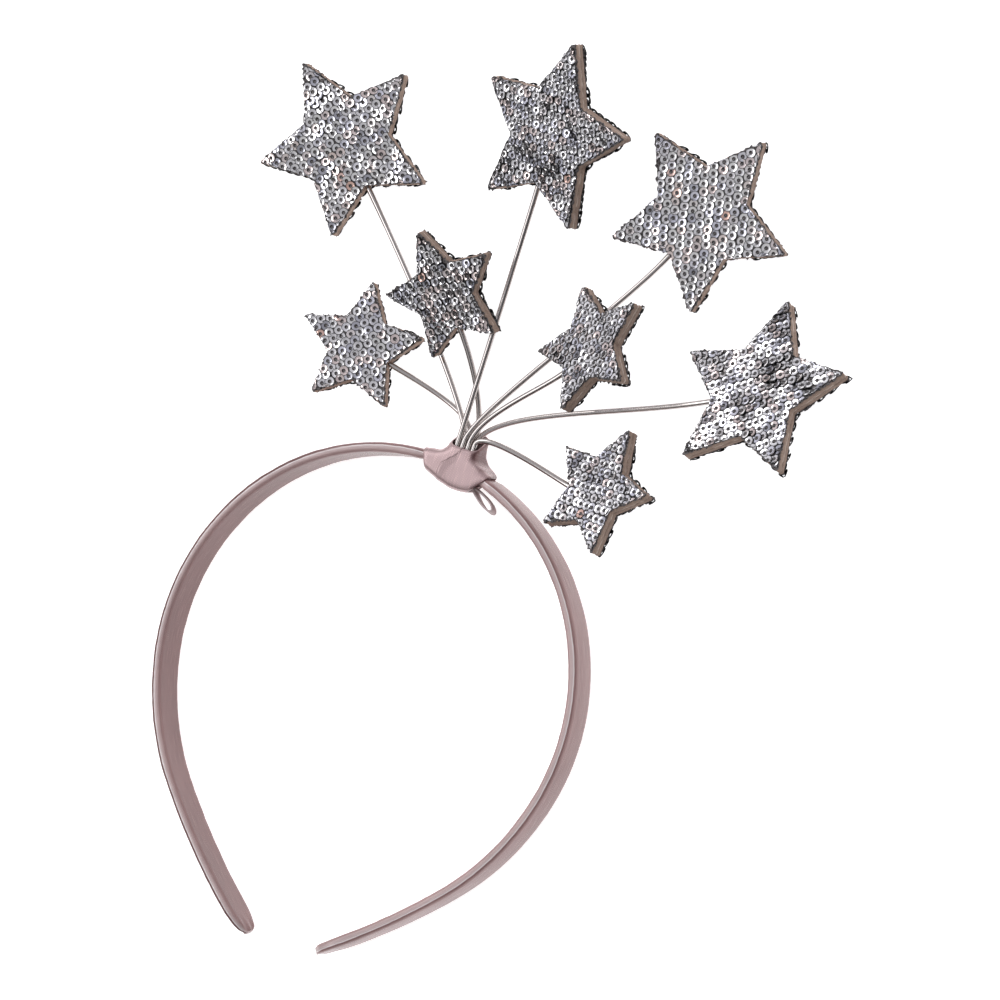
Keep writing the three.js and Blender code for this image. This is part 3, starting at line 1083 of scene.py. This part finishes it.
def stitch_places(form, ribbon):
    """Points of the stitches along the edge of the last turn, each with the turn of its stitch."""
    first, last = -54, -10
    reach = 0.0003
    raised = ribbon.thickness * 1.3
    places, turns = [], []
    for index in range(ribbon.stitches):
        angle = blend(first, last, index / (ribbon.stitches - 1))
        edge = table_at(CROSSING_EDGES, "angle", angle, "left")
        low = form.point(edge - reach, angle, 0.0)
        high = form.point(edge + reach, angle, raised)
        over = (high - low).normalized()
        side = Vector((0.0, -math.cos(math.radians(angle)), -math.sin(math.radians(angle))))
        up = over.cross(side).normalized()
        places.append((low + high) / 2)
        turns.append(Matrix((over, up.cross(over), up)).transposed().to_euler())
    mesh = bpy.data.meshes.new("ribbon_stitches")
    mesh.from_pydata(places, [], [])
    attribute = mesh.attributes.new("turn", "FLOAT_VECTOR", "POINT")
    for item, turn in zip(attribute.data, turns):
        item.vector = turn
    return mesh


def stitch_shape():
    """One stitch: a short arched thread along X."""
    half = 0.00045
    rise = 0.00012
    radius = 0.00008
    sides = 6
    shares = (-1.0, -0.5, 0.0, 0.5, 1.0)
    path = [Vector((half * share, 0.0, rise * (1 - 2 * share * share))) for share in shares]
    return tube_mesh("stitch_shape", path, radius, sides)


def new_tree(name, output, inputs):
    """Graph of a new geometry node tree, and the values of its inputs by their names."""
    tree = bpy.data.node_groups.new(name, "GeometryNodeTree")
    for kind, names in inputs.items():
        for key in names:
            tree.interface.new_socket(name=key, in_out="INPUT", socket_type=f"NodeSocket{kind}")
    tree.interface.new_socket(name=output, in_out="OUTPUT", socket_type="NodeSocketGeometry")
    graph = Graph(tree)
    given = graph.add("NodeGroupInput")
    return graph, {key: graph.out(given, key) for names in inputs.values() for key in names}


def end_tree(graph, result):
    """Links a tree's result to its output and returns the tree."""
    last = graph.add("NodeGroupOutput")
    graph.tree.links.new(result.socket, last.inputs[0])
    return graph.tree


def set_on_points(graph, points, shape, euler, scale):
    """Instances of an object on points."""
    return graph.value("GeometryNodeInstanceOnPoints", None, {
        "Points": points,
        "Instance": graph.value("GeometryNodeObjectInfo", None, {"Object": shape}, "Geometry"),
        "Rotation": graph.value("FunctionNodeEulerToRotation", None, {"Euler": euler}),
        "Scale": scale,
    })


def made_real(graph, instances, finish):
    """Instances as plain geometry with a finish."""
    return graph.value("GeometryNodeSetMaterial", None, {
        "Geometry": graph.value("GeometryNodeRealizeInstances", None, {"Geometry": instances}),
        "Material": finish,
    })


def stitch_tree():
    """Node tree that sets a stitch on each point of a mesh."""
    graph, given = new_tree("stitch_row", "Row", {
        "Geometry": ("Places",), "Object": ("Stitch",), "Material": ("Strand",),
    })
    turn = graph.value("GeometryNodeInputNamedAttribute", {"data_type": "FLOAT_VECTOR"}, {"Name": "turn"})
    placed = set_on_points(graph, given["Places"], given["Stitch"], turn, (1.0, 1.0, 1.0))
    return end_tree(graph, made_real(graph, placed, given["Strand"]))


def run_tree(made, tree, inputs):
    """Turns the result of a node tree with these inputs, by their names, into an object's plain mesh."""
    modifier = made.modifiers.new(tree.name, "NODES")
    modifier.node_group = tree
    for item in tree.interface.items_tree:
        if item.in_out == "INPUT" and item.name in inputs:
            modifier[item.identifier] = inputs[item.name]
    return apply_modifiers(made)


def stitch_row(form, ribbon):
    """The stitches as one plain mesh."""
    thread_shade = 0.6
    row = link("ribbon_stitches", stitch_places(form, ribbon))
    shape = link("stitch_shape", stitch_shape())
    thread = thread_material("ribbon_thread", tinted(ribbon.colour, thread_shade)[:3])
    run_tree(row, stitch_tree(), {"Stitch": shape, "Strand": thread})
    bpy.data.objects.remove(shape)
    return row


class HEADBAND_OT_ribbon_wrap(bpy.types.Operator):
    """Wind the ribbon round the crown and the wires"""

    bl_idname = "headband.ribbon_wrap"
    bl_label = "Ribbon wrap"

    def execute(self, context):
        settings = context.scene.headband
        ribbon = settings.ribbon
        sharp = math.radians(50)
        margin = Vector((NECK_MARGIN, 0.0, 0.0))
        satin = satin_material(
            "ribbon_satin", ribbon.colour, settings.band.sheen, weave_depth=0.6, gloss=0.6, metal=0.3)
        wrap = wrap_form(ribbon)
        form = WrapForm(wrap)
        mouth = dict(NECK_SECTIONS[-1])
        mouth["rise"] += NECK_MARGIN
        hollow(wrap, "neck_hollow", neck_rings([*NECK_SECTIONS[1:], mouth], ribbon.wall))
        tunnel = wound_rings(ribbon.wall)
        hollow(wrap, "band_tunnel", [
            [point - margin for point in tunnel[0]],
            *tunnel,
            [point + margin for point in tunnel[-1]],
        ])
        wrap.data.materials.clear()
        wrap.data.materials.append(satin)
        wrap.data.shade_smooth()
        wrap.data.set_sharp_from_angle(angle=sharp)
        wrap_angle_uv(wrap.data)
        # Painted shade: the wrap is darkened where its surface turns toward +X
        point_attribute(wrap.data, "shade", [
            WRAP_PAINTED_SHADE["most"] * smooth_step(vertex.normal.x, WRAP_PAINTED_SHADE["start"], WRAP_PAINTED_SHADE["full"])
            for vertex in wrap.data.vertices
        ])
        own(wrap, "ribbon_satin", "ribbon_wrap")
        crossing = link("ribbon_crossing", crossing_mesh(form, ribbon), satin)
        solidify(crossing, ribbon.thickness, 1.0)
        keep_off_floor(crossing.data)
        own(crossing, "ribbon_satin")
        own(stitch_row(form, ribbon), "ribbon_satin")
        return {"FINISHED"}


class HEADBAND_OT_ribbon_loop(bpy.types.Operator):
    """Bend the small loose loop of ribbon"""

    bl_idname = "headband.ribbon_loop"
    bl_label = "Ribbon loop"

    def execute(self, context):
        ribbon = context.scene.headband.ribbon
        steps = 72
        columns = 10
        turn = Matrix.Rotation(math.radians(LOOP["turn"]), 3, "Z")
        rows = []
        for step in range(steps + 1):
            angle = 2 * math.pi * step / steps
            place = turn @ Vector((
                LOOP["length"] * (1 - math.cos(angle)) / 2,
                -LOOP["bulge"] * math.sin(angle) * math.sin(angle / 2),
                0.0,
            ))
            row = []
            for column in range(columns + 1):
                share = column / columns
                sway = turn @ Vector((0.0, (share - 0.5) * LOOP["flare"] * math.sin(angle / 2), 0.0))
                foot = Vector((LOOP["x"], LOOP["y"], blend(LOOP_BOTTOM, LOOP_TOP, share)))
                row.append(CROWN + foot + place + sway)
            rows.append(row)
        across = [(LOOP_TOP - LOOP_BOTTOM) * column / columns for column in range(columns + 1)]
        along = running_lengths([row[0] for row in rows])
        mesh = skin_mesh("ribbon_loose_loop", rows, across, along, closed=False)
        loop = link("ribbon_loose_loop", mesh, bpy.data.materials["ribbon_satin"])
        solidify(loop, ribbon.thickness, 0.0)
        own(loop, "ribbon_satin", "ribbon_loop")
        return {"FINISHED"}


def star_outline(radius, edge_steps):
    """Points of a five-pointed star with blunt tips, counter-clockwise, one inner corner on +X."""
    tip_steps = 2
    corners = []
    for point in range(POINTS):
        notch = 2 * HALF_TURN * point
        tip = notch + HALF_TURN
        across = Vector((-math.sin(tip), math.cos(tip))) * TIP_BLUNT
        end = Vector((math.cos(tip), math.sin(tip))) * radius
        inner = Vector((math.cos(notch), math.sin(notch))) * (radius * NOTCH_RATIO)
        corners.extend(((inner, edge_steps), (end - across, tip_steps), (end + across, edge_steps)))
    points = []
    for index, (corner, steps) in enumerate(corners):
        following = corners[(index + 1) % len(corners)][0]
        points.extend(corner.lerp(following, step / steps) for step in range(steps))
    return points


def star_place(star):
    """Turn and place of a star, as a matrix from its own frame to the headband's."""
    toward = math.radians(star["toward"])
    hinge = Vector((-math.sin(toward), math.cos(toward), 0.0))
    turned = Matrix.Rotation(math.radians(star["lean"]), 4, hinge)
    turned = turned @ Matrix.Rotation(math.radians(star["entry"]), 4, "Z")
    lowest = min(
        (turned @ Vector((point.x, point.y, -STAR_HALF_DEPTH))).z
        for point in star_outline(star["radius"], 1)
    )
    place = CROWN + Vector((star["x"], star["y"], star["rise"] - lowest))
    return Matrix.Translation(place) @ turned


def check_star_place(star, name):
    """Stops if a star isn't where its solid is."""
    place = star_place(star)
    points = [place @ Vector((point.x, point.y, 0.0)) for point in star_outline(star["radius"], 1)]
    low, high = (Vector(corner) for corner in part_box(f"{name}_core"))
    for axis in range(2):
        middle = (min(point[axis] for point in points) + max(point[axis] for point in points)) / 2
        if abs(middle - (low[axis] + high[axis]) / 2) > STAR_TOLERANCE:
            raise RuntimeError(f"{name} is out of place")


def wire_points(star):
    """Line of a wire from its seat in the neck to its end inside the star."""
    bend_steps = 64
    straight_steps = 4
    place = star_place(star)
    notch_radius = star["radius"] * NOTCH_RATIO
    seat_x = SEAT["x"] + star["column"] * SEAT["column"]
    seat_z = SEAT["height"] + star["row"] * SEAT["row"]
    seat, mouth, leaving = (
        CROWN + Vector((seat_x, seat_y, seat_z))
        for seat_y in (SEAT["bottom"], SEAT["top"], SEAT["top"] + star["neck_run"])
    )
    arriving, notch, end = (
        place @ Vector((reach, 0.0, 0.0)) for reach in (
            notch_radius + star["star_run"], notch_radius, notch_radius * (1 - BORE_SHARE) + BORE_SLACK,
        )
    )
    bend = []
    for step in range(bend_steps + 1):
        share = step / bend_steps
        rest = 1 - share
        bend.append(
            mouth * rest ** 3 + leaving * 3 * share * rest ** 2
            + arriving * 3 * share ** 2 * rest + notch * share ** 3
        )
    return [
        *(seat.lerp(mouth, step / straight_steps) for step in range(straight_steps)),
        *bend,
        *(notch.lerp(end, step / straight_steps) for step in range(1, straight_steps + 1)),
    ]


class HEADBAND_OT_wires(bpy.types.Operator):
    """Bend the wires from the neck to the stars"""

    bl_idname = "headband.wires"
    bl_label = "Wires"

    def execute(self, context):
        wires = context.scene.headband.wires
        silver = silver_material("silver_wire", wires.colour)
        for index, star in enumerate(STARS, 1):
            name = f"wire_{index}"
            mesh = tube_mesh(f"{name}_silver", wire_points(star), wires.diameter / 2, wires.sides)
            own(link(f"{name}_silver", mesh, silver), "silver_wire", name)
        return {"FINISHED"}


def outline_normals(points):
    """Way outward at each point of a closed outline."""
    normals = []
    for index in range(len(points)):
        along = points[(index + 1) % len(points)] - points[index - 1]
        normals.append(Vector((along.y, -along.x)).normalized())
    return normals


def foam_mesh(name, star, foam, seed):
    """Foam star: rough cut walls with a groove where its two layers meet."""
    edge_steps = 26
    roughness = 0.00013
    grain_size = 0.0007
    tear_size = 0.003
    profile = table(
        "layer out",
        (-1.0, -0.00012),
        (-0.8, 0.00004),
        (-0.45, 0.00008),
        (-0.14, 0.0),
        (0.0, -0.00022),
        (0.14, 0.0),
        (0.45, 0.00006),
        (0.8, 0.00002),
        (1.0, -0.00012),
    )
    outline = star_outline(star["radius"], edge_steps)
    normals = outline_normals(outline)
    rings = []
    for level in profile:
        ring = []
        for point, normal in zip(outline, normals):
            grain = waver(point.x / grain_size, point.y / grain_size, seed + level["layer"] * 2)
            torn = waver(point.x / tear_size, point.y / tear_size, seed + level["layer"])
            moved = point + normal * (level["out"] + roughness * (grain + torn))
            ring.append(Vector((moved.x, moved.y, level["layer"] * foam / 2)))
        rings.append(ring)
    mesh = plain_loft(name, rings)
    point_attribute(mesh, "layer", [vertex.co.z / (foam / 2) for vertex in mesh.vertices])
    mesh.transform(star_place(star))
    return mesh


def net_mesh(name, star, bottom, top, seed, flip):
    """Star of net with a ragged cut edge."""
    edge_steps = 30
    fray = 0.0009
    tear_size = 0.0006
    outline = star_outline(star["radius"], edge_steps)
    ragged = [
        point + normal * fray * waver(point.x / tear_size, point.y / tear_size, seed)
        for point, normal in zip(outline, outline_normals(outline))
    ]
    work = bmesh.new()
    layer = work.loops.layers.uv.new("Weave")
    lower, upper = ([work.verts.new((*point, height)) for point in ragged] for height in (bottom, top))
    middles = [work.verts.new((0.0, 0.0, height)) for height in (bottom, top)]
    for index in range(len(ragged)):
        following = (index + 1) % len(ragged)
        work.faces.new((lower[index], lower[following], upper[following], upper[index]))
        work.faces.new((lower[following], lower[index], middles[0]))
        work.faces.new((upper[index], upper[following], middles[1]))
    for face in work.faces:
        for loop in face.loops:
            loop[layer].uv = loop.vert.co.xy
    mesh = mesh_from(work, name)
    mesh.transform(star_place(star) @ flip)
    keep_off_floor(mesh)
    return mesh


def sequin_shape(stars):
    """One cup sequin: a flat ring round its hole, a sloping rim and a closed underside.

    Its cut attribute, where the film's painted shade goes, is 1 at its cut edges and 0 on the ring between
    them.
    """
    segments = 12
    same_circle = 0.00001
    lip_share = 1.8
    flat_share = 0.58
    rim_height = 0.00011
    drop = 0.00008
    hole = stars.hole / 2
    rim = stars.sequin / 2
    circles = table(
        "radius height cut",
        (hole, 0.0, 1.0),
        (hole * lip_share, 0.0, 0.0),
        (rim * flat_share, 0.0, 0.0),
        (rim, rim_height, 1.0),
        (rim, -drop, 1.0),
    )
    work = bmesh.new()
    turns = [2 * math.pi * index / segments for index in range(segments)]
    rings = [
        [
            work.verts.new((
                circle["radius"] * math.cos(turn), circle["radius"] * math.sin(turn), circle["height"],
            ))
            for turn in turns
        ]
        for circle in circles
    ]
    for inner, outer in zip(rings, [*rings[1:], rings[0]]):
        for index in range(segments):
            following = (index + 1) % segments
            work.faces.new((inner[index], outer[index], outer[following], inner[following]))
    for edge in work.edges:
        reaches = [vert.co.to_2d().length for vert in edge.verts]
        edge.smooth = abs(reaches[0] - reaches[1]) > same_circle
    mesh = mesh_from(work, "sequin_shape")
    mesh.shade_smooth()
    point_attribute(mesh, "cut", [circle["cut"] for circle in circles for _ in turns])
    return mesh


def thread_shape(stars):
    """Thread that holds a sequin: out of its hole, over its rim and down."""
    radius = 0.00007
    sides = 4
    bends = table(
        "reach height",
        (0.0, -0.0002),
        (0.25, 0.0001),
        (0.65, 0.00016),
        (1.02, 0.0003),
        (1.12, -0.0001),
    )
    rim = stars.sequin / 2
    path = [Vector((bend["reach"] * rim, 0.0, bend["height"])) for bend in bends]
    return tube_mesh("thread_shape", path, radius, sides)


def star_depth(x, y, radius):
    """How far inside a star's edge a point is."""
    reach = (x * x + y * y).math("SQRT")
    fold = y.math("ARCTAN2", x).math("PINGPONG", HALF_TURN)
    across = reach * fold.math("SINE")
    out = reach * fold.math("COSINE") - radius * NOTCH_RATIO
    return across * STAR_EDGE.x - out * STAR_EDGE.y


def random_axes(graph, seed):
    """Three random numbers for each point: two from -1 to 1 and one from 0 to 1."""
    return graph.axes(graph.value("FunctionNodeRandomValue", {"data_type": "FLOAT_VECTOR"}, {
        "Min": (-1.0, -1.0, 0.0), "Max": (1.0, 1.0, 1.0), "Seed": seed,
    }, "Value"))


def sequin_tree():
    """Node tree that lays sequins and their threads in rows over a star."""
    slack_share = 0.13
    stacking = 0.00012
    ripple_size = 1 / 190
    ripple_detail = 1.0
    ripple_gain = 4.0
    ripple_seed = 0.37
    sway_seed = 17
    tone_seed = 31
    least_size, size_spread = 0.94, 0.1
    graph, given = new_tree("sequin_field", "Field", {
        "Object": ("Sequin", "Thread"),
        "Float": ("Radius", "Pitch", "Row pitch", "Row turn", "Inset", "Height", "Ripple", "Sway", "Cup"),
        "Int": ("Columns", "Lines", "Seed"),
        "Material": ("Film", "Strand"),
    })
    pitch, row_pitch, seed = given["Pitch"], given["Row pitch"], given["Seed"]
    columns, lines = given["Columns"], given["Lines"]
    grid = graph.value("GeometryNodeMeshGrid", None, {
        "Size X": (columns - 1) * pitch, "Size Y": (lines - 1) * row_pitch,
        "Vertices X": columns, "Vertices Y": lines,
    }, "Mesh")
    here = graph.value("GeometryNodeInputPosition")
    x, y, _ = graph.axes(here)
    shift = (y / row_pitch).math("ROUND").math("FLOORED_MODULO", 2.0) * pitch * 0.5
    stray_x, stray_y, stray_z = random_axes(graph, seed)
    slack = pitch * slack_share
    offset = graph.vector(shift + stray_x * slack, stray_y * slack, given["Height"] + stray_z * stacking)
    moved = graph.value("GeometryNodeSetPosition", None, {"Geometry": grid, "Offset": offset})
    turned = graph.value("ShaderNodeVectorRotate", {"rotation_type": "Z_AXIS"}, {
        "Vector": here, "Angle": given["Row turn"],
    })
    laid = graph.value("GeometryNodeSetPosition", None, {"Geometry": moved, "Position": turned})
    inside = star_depth(x, y, given["Radius"]) > given["Inset"]
    points = graph.value("GeometryNodeMeshToPoints", None, {"Mesh": laid, "Selection": inside})
    wander = graph.vector_math("ADD", here, graph.vector(0.0, 0.0, seed * ripple_seed))
    wave_x, wave_y, _ = graph.axes(graph.grain(wander, ripple_size, ripple_detail, "Color"))
    shake_x, shake_y, shake_z = random_axes(graph, seed + sway_seed)
    tilt_x, tilt_y = (
        (wave - 0.5) * ripple_gain * given["Ripple"] + shake * given["Sway"]
        for wave, shake in ((wave_x, shake_x), (wave_y, shake_y))
    )
    euler = graph.vector(tilt_x, tilt_y, 0.0)
    size = shake_z * size_spread + least_size
    cupped = graph.vector(size, size, size * given["Cup"])
    tone = graph.value("FunctionNodeRandomValue", {"data_type": "FLOAT"}, {
        "Seed": seed + tone_seed,
    }, "Value")
    joined = graph.add("GeometryNodeJoinGeometry")
    for shape, finish, scale in (("Sequin", "Film", cupped), ("Thread", "Strand", size)):
        placed = set_on_points(graph, points, given[shape], euler, scale)
        marked = graph.value("GeometryNodeStoreNamedAttribute", {
            "data_type": "FLOAT", "domain": "INSTANCE",
        }, {"Geometry": placed, "Name": "tone", "Value": tone})
        graph.tree.links.new(made_real(graph, marked, given[finish]).socket, joined.inputs[0])
    return end_tree(graph, graph.out(joined))


def turn_in_edges(mesh, radius, left):
    """Draws the parts of sequins that stand past a star's edge back to it."""
    for vertex in mesh.vertices:
        reach = vertex.co.to_2d().length
        fold = abs((math.atan2(vertex.co.y, vertex.co.x) + HALF_TURN) % (2 * HALF_TURN) - HALF_TURN)
        lean = math.cos(fold) * STAR_EDGE.y - math.sin(fold) * STAR_EDGE.x
        past = reach * lean - radius * NOTCH_RATIO * STAR_EDGE.y
        if past > EDGE_MARGIN:
            drawn = reach - (past - EDGE_MARGIN) * (1 - left) / lean
            vertex.co.x *= drawn / reach
            vertex.co.y *= drawn / reach


def sequin_field(name, tree, star, lay, stars, tools, seed, flip, left):
    """Sequins and threads of one side of a star, as a plain mesh in place."""
    span = 2.3 * star["radius"]
    lift = 0.00015
    columns, lines = (2 * round(span / pitch / 2) + 1 for pitch in (stars.pitch, stars.row_pitch))
    made = run_tree(link(name, bpy.data.meshes.new(name)), tree, {
        **tools,
        "Radius": star["radius"],
        "Pitch": stars.pitch,
        "Row pitch": stars.row_pitch,
        "Columns": columns,
        "Lines": lines,
        "Row turn": math.radians(lay["rows"]),
        "Inset": EDGE_INSET,
        "Height": stars.foam / 2 + stars.cloth + lift,
        "Ripple": math.radians(lay["ripple"]),
        "Sway": math.radians(lay["sway"]),
        "Cup": lay["cup"],
        "Seed": seed,
    })
    turn_in_edges(made.data, star["radius"], left)
    made.data.transform(star_place(star) @ flip)
    keep_off_floor(made.data)
    return made


class HEADBAND_OT_stars(bpy.types.Operator):
    """Cut the foam stars and cover them with sequin cloth"""

    bl_idname = "headband.stars"
    bl_label = "Stars"

    def execute(self, context):
        stars = context.scene.headband.stars
        foam = foam_material("star_foam", stars.foam_colour, stars.glue_colour)
        net = net_material("sequin_net", stars.net_colour)
        tools = {
            "Sequin": link("sequin_shape", sequin_shape(stars)),
            "Thread": link("thread_shape", thread_shape(stars)),
            "Film": sequin_material("sequin_film", stars.sequin_colour),
            "Strand": thread_material("sequin_thread", THREAD_COLOUR),
        }
        tree = sequin_tree()
        sides = (
            ("front", Matrix.Identity(4), 0),
            ("back", Matrix.Rotation(math.pi, 4, "X"), BACK_SEED),
        )
        bottom = stars.foam / 2
        area = POINTS * NOTCH_RATIO * math.sin(HALF_TURN)
        for index, (star, lay) in enumerate(zip(STARS, SEQUIN_LAY), 1):
            name = f"star_{index}"
            check_star_place(star, name)
            core = link(f"{name}_foam", foam_mesh(f"{name}_foam", star, stars.foam, index), foam)
            own(core, "star_foam", f"{name}_core")
            for side, flip, first_seed in sides:
                seed = first_seed + index
                mesh = net_mesh(f"{name}_{side}_net", star, bottom, bottom + stars.cloth, seed, flip)
                cloth = own(link(mesh.name, mesh, net), "sequin_cloth", f"{name}_{side}")
                field = sequin_field(
                    f"{name}_{side}_sequins", tree, star, lay, stars, tools, seed, flip, EDGE_LEFT[side])
                own(field, "sequin_cloth")
                reach = 2 * star["radius"]
                area * star["radius"] ** 2
        for key in ("Sequin", "Thread"):
            bpy.data.objects.remove(tools[key])
        return {"FINISHED"}


# Soft patches of the room, laid over each other in this order: the way to each one's middle, the angles
# within which it is full and past which it is gone, and a squeeze that makes it longer along Y when it is
# below 1. The flag is dark, and the others take their brightness from the setting of their name.
ROOM_PATCHES = table(
    "name middle inner outer squeeze",
    ("fill", (-0.3, -0.52, 0.8), 16, 26, 1.0),
    ("flag", (0.52, -0.14, 0.84), 11, 15, 1.0),
    ("lens_softbox", (0.33, 0.06, 0.94), 6, 10, 1.0),
    ("side_softbox", (-0.62, 0.15, 0.76), 9, 12, 0.28),
    ("softbox", (0.2, 0.3, 0.93), 9, 12, 1.0),
)
ROOM_TINT = (0.98, 0.97, 1.02)


def patch_mask(graph, direction, patch):
    """Soft patch of the room about a direction: 1 within its inner angle, 0 past its outer one."""
    stretch = Vector((1.0, patch["squeeze"], 1.0))
    middle = (Vector(patch["middle"]) * stretch).normalized()
    unit = graph.vector_math("NORMALIZE", graph.vector_math("MULTIPLY", direction, stretch))
    dot = graph.vector_math("DOT_PRODUCT", unit, middle, key="Value")
    return dot.step(math.cos(math.radians(patch["outer"])), math.cos(math.radians(patch["inner"])))


def light_room(scene, stage):
    """Grey room, dimmer on the right, with a dark band low down that rises in front, and its patches."""
    front_x, front_y = 0.36, 0.93
    front_start, front_full = -0.1, 0.3
    low_full, low_end = 0.1, 0.18
    low_rise = 0.43
    right_start, right_full = -0.9, 0.2
    dark_share, dim_share = 0.03, 0.58
    world = bpy.data.worlds.new("studio")
    world.use_nodes = True
    scene.world = world
    graph = Graph(world.node_tree)
    direction = graph.value("ShaderNodeTexCoord", None, None, "Generated")
    x, y, z = graph.axes(direction)
    front = (x * front_x - y * front_y).step(front_start, front_full)
    low = 1.0 - (z - front * low_rise).step(low_full, low_end)
    right = x.step(right_start, right_full)
    grey = [stage.room * part for part in ROOM_TINT]
    dark = tinted(grey, dark_share)
    room = graph.mix(low, graph.mix(right, rgba(grey), tinted(grey, dim_share)), dark)
    for patch in ROOM_PATCHES:
        is_flag = patch["name"] == "flag"
        colour = dark if is_flag else rgba([getattr(stage, patch["name"])] * 3)
        room = graph.mix(patch_mask(graph, direction, patch), room, colour)
    background = world.node_tree.nodes["Background"]
    world.node_tree.links.new(room.socket, background.inputs["Color"])
    background.inputs["Strength"].default_value = 1.0


class HEADBAND_OT_stage(bpy.types.Operator):
    """Set up the floor, the light and the camera"""

    bl_idname = "headband.stage"
    bl_label = "Stage"

    def execute(self, context):
        scene = context.scene
        stage = scene.headband.stage
        half = 1.6
        mesh = bpy.data.meshes.new("floor")
        corners = [(-half, -half, 0.0), (half, -half, 0.0), (half, half, 0.0), (-half, half, 0.0)]
        mesh.from_pydata(corners, [], [(0, 1, 2, 3)])
        link("floor", mesh, floor_material("floor", stage.floor, stage.floor_glow))
        light_room(scene, stage)
        scene.view_settings.view_transform = "Standard"
        lens = bpy.data.cameras.new("camera")
        lens.lens = stage.lens
        lens.sensor_width = 36.0
        lens.clip_start = 0.01
        camera = bpy.data.objects.new("camera", lens)
        back = CAMERA_BACK.normalized()
        right = CAMERA_UP.cross(back).normalized()
        up = back.cross(right)
        turned = Matrix((right, up, back)).transposed().to_4x4()
        camera.matrix_world = Matrix.Translation(CROWN + CAMERA_PLACE) @ turned
        scene.collection.objects.link(camera)
        scene.camera = camera
        return {"FINISHED"}


PIECES = (
    ("headband.stage", "stage"),
    ("headband.band", "band"),
    ("headband.ribbon_wrap", "ribbon"),
    ("headband.ribbon_loop", None),
    ("headband.wires", "wires"),
    ("headband.stars", "stars"),
)


class HEADBAND_PT_panel(bpy.types.Panel):
    """Buttons and settings of the headband"""

    bl_idname = "HEADBAND_PT_panel"
    bl_label = "Star headband"
    bl_space_type = "VIEW_3D"
    bl_region_type = "UI"
    bl_category = "Headband"

    def draw(self, context):
        settings = context.scene.headband
        for operator, group in PIECES:
            self.layout.operator(operator)
            if group:
                for key in getattr(settings, group).__annotations__:
                    self.layout.prop(getattr(settings, group), key)


CLASSES = (
    HeadbandBand,
    HeadbandRibbon,
    HeadbandWires,
    HeadbandStars,
    HeadbandStage,
    HeadbandSettings,
    HEADBAND_OT_band,
    HEADBAND_OT_ribbon_wrap,
    HEADBAND_OT_ribbon_loop,
    HEADBAND_OT_wires,
    HEADBAND_OT_stars,
    HEADBAND_OT_stage,
    HEADBAND_PT_panel,
)


def register():
    for made in CLASSES:
        bpy.utils.register_class(made)
    bpy.types.Scene.headband = PointerProperty(type=HeadbandSettings)


def unregister():
    del bpy.types.Scene.headband
    for made in reversed(CLASSES):
        bpy.utils.unregister_class(made)


def main():
    register()
    bpy.ops.headband.stage()
    bpy.ops.headband.band()
    bpy.ops.headband.ribbon_wrap()
    bpy.ops.headband.ribbon_loop()
    bpy.ops.headband.wires()
    bpy.ops.headband.stars()


if __name__ == "__main__":
    main()
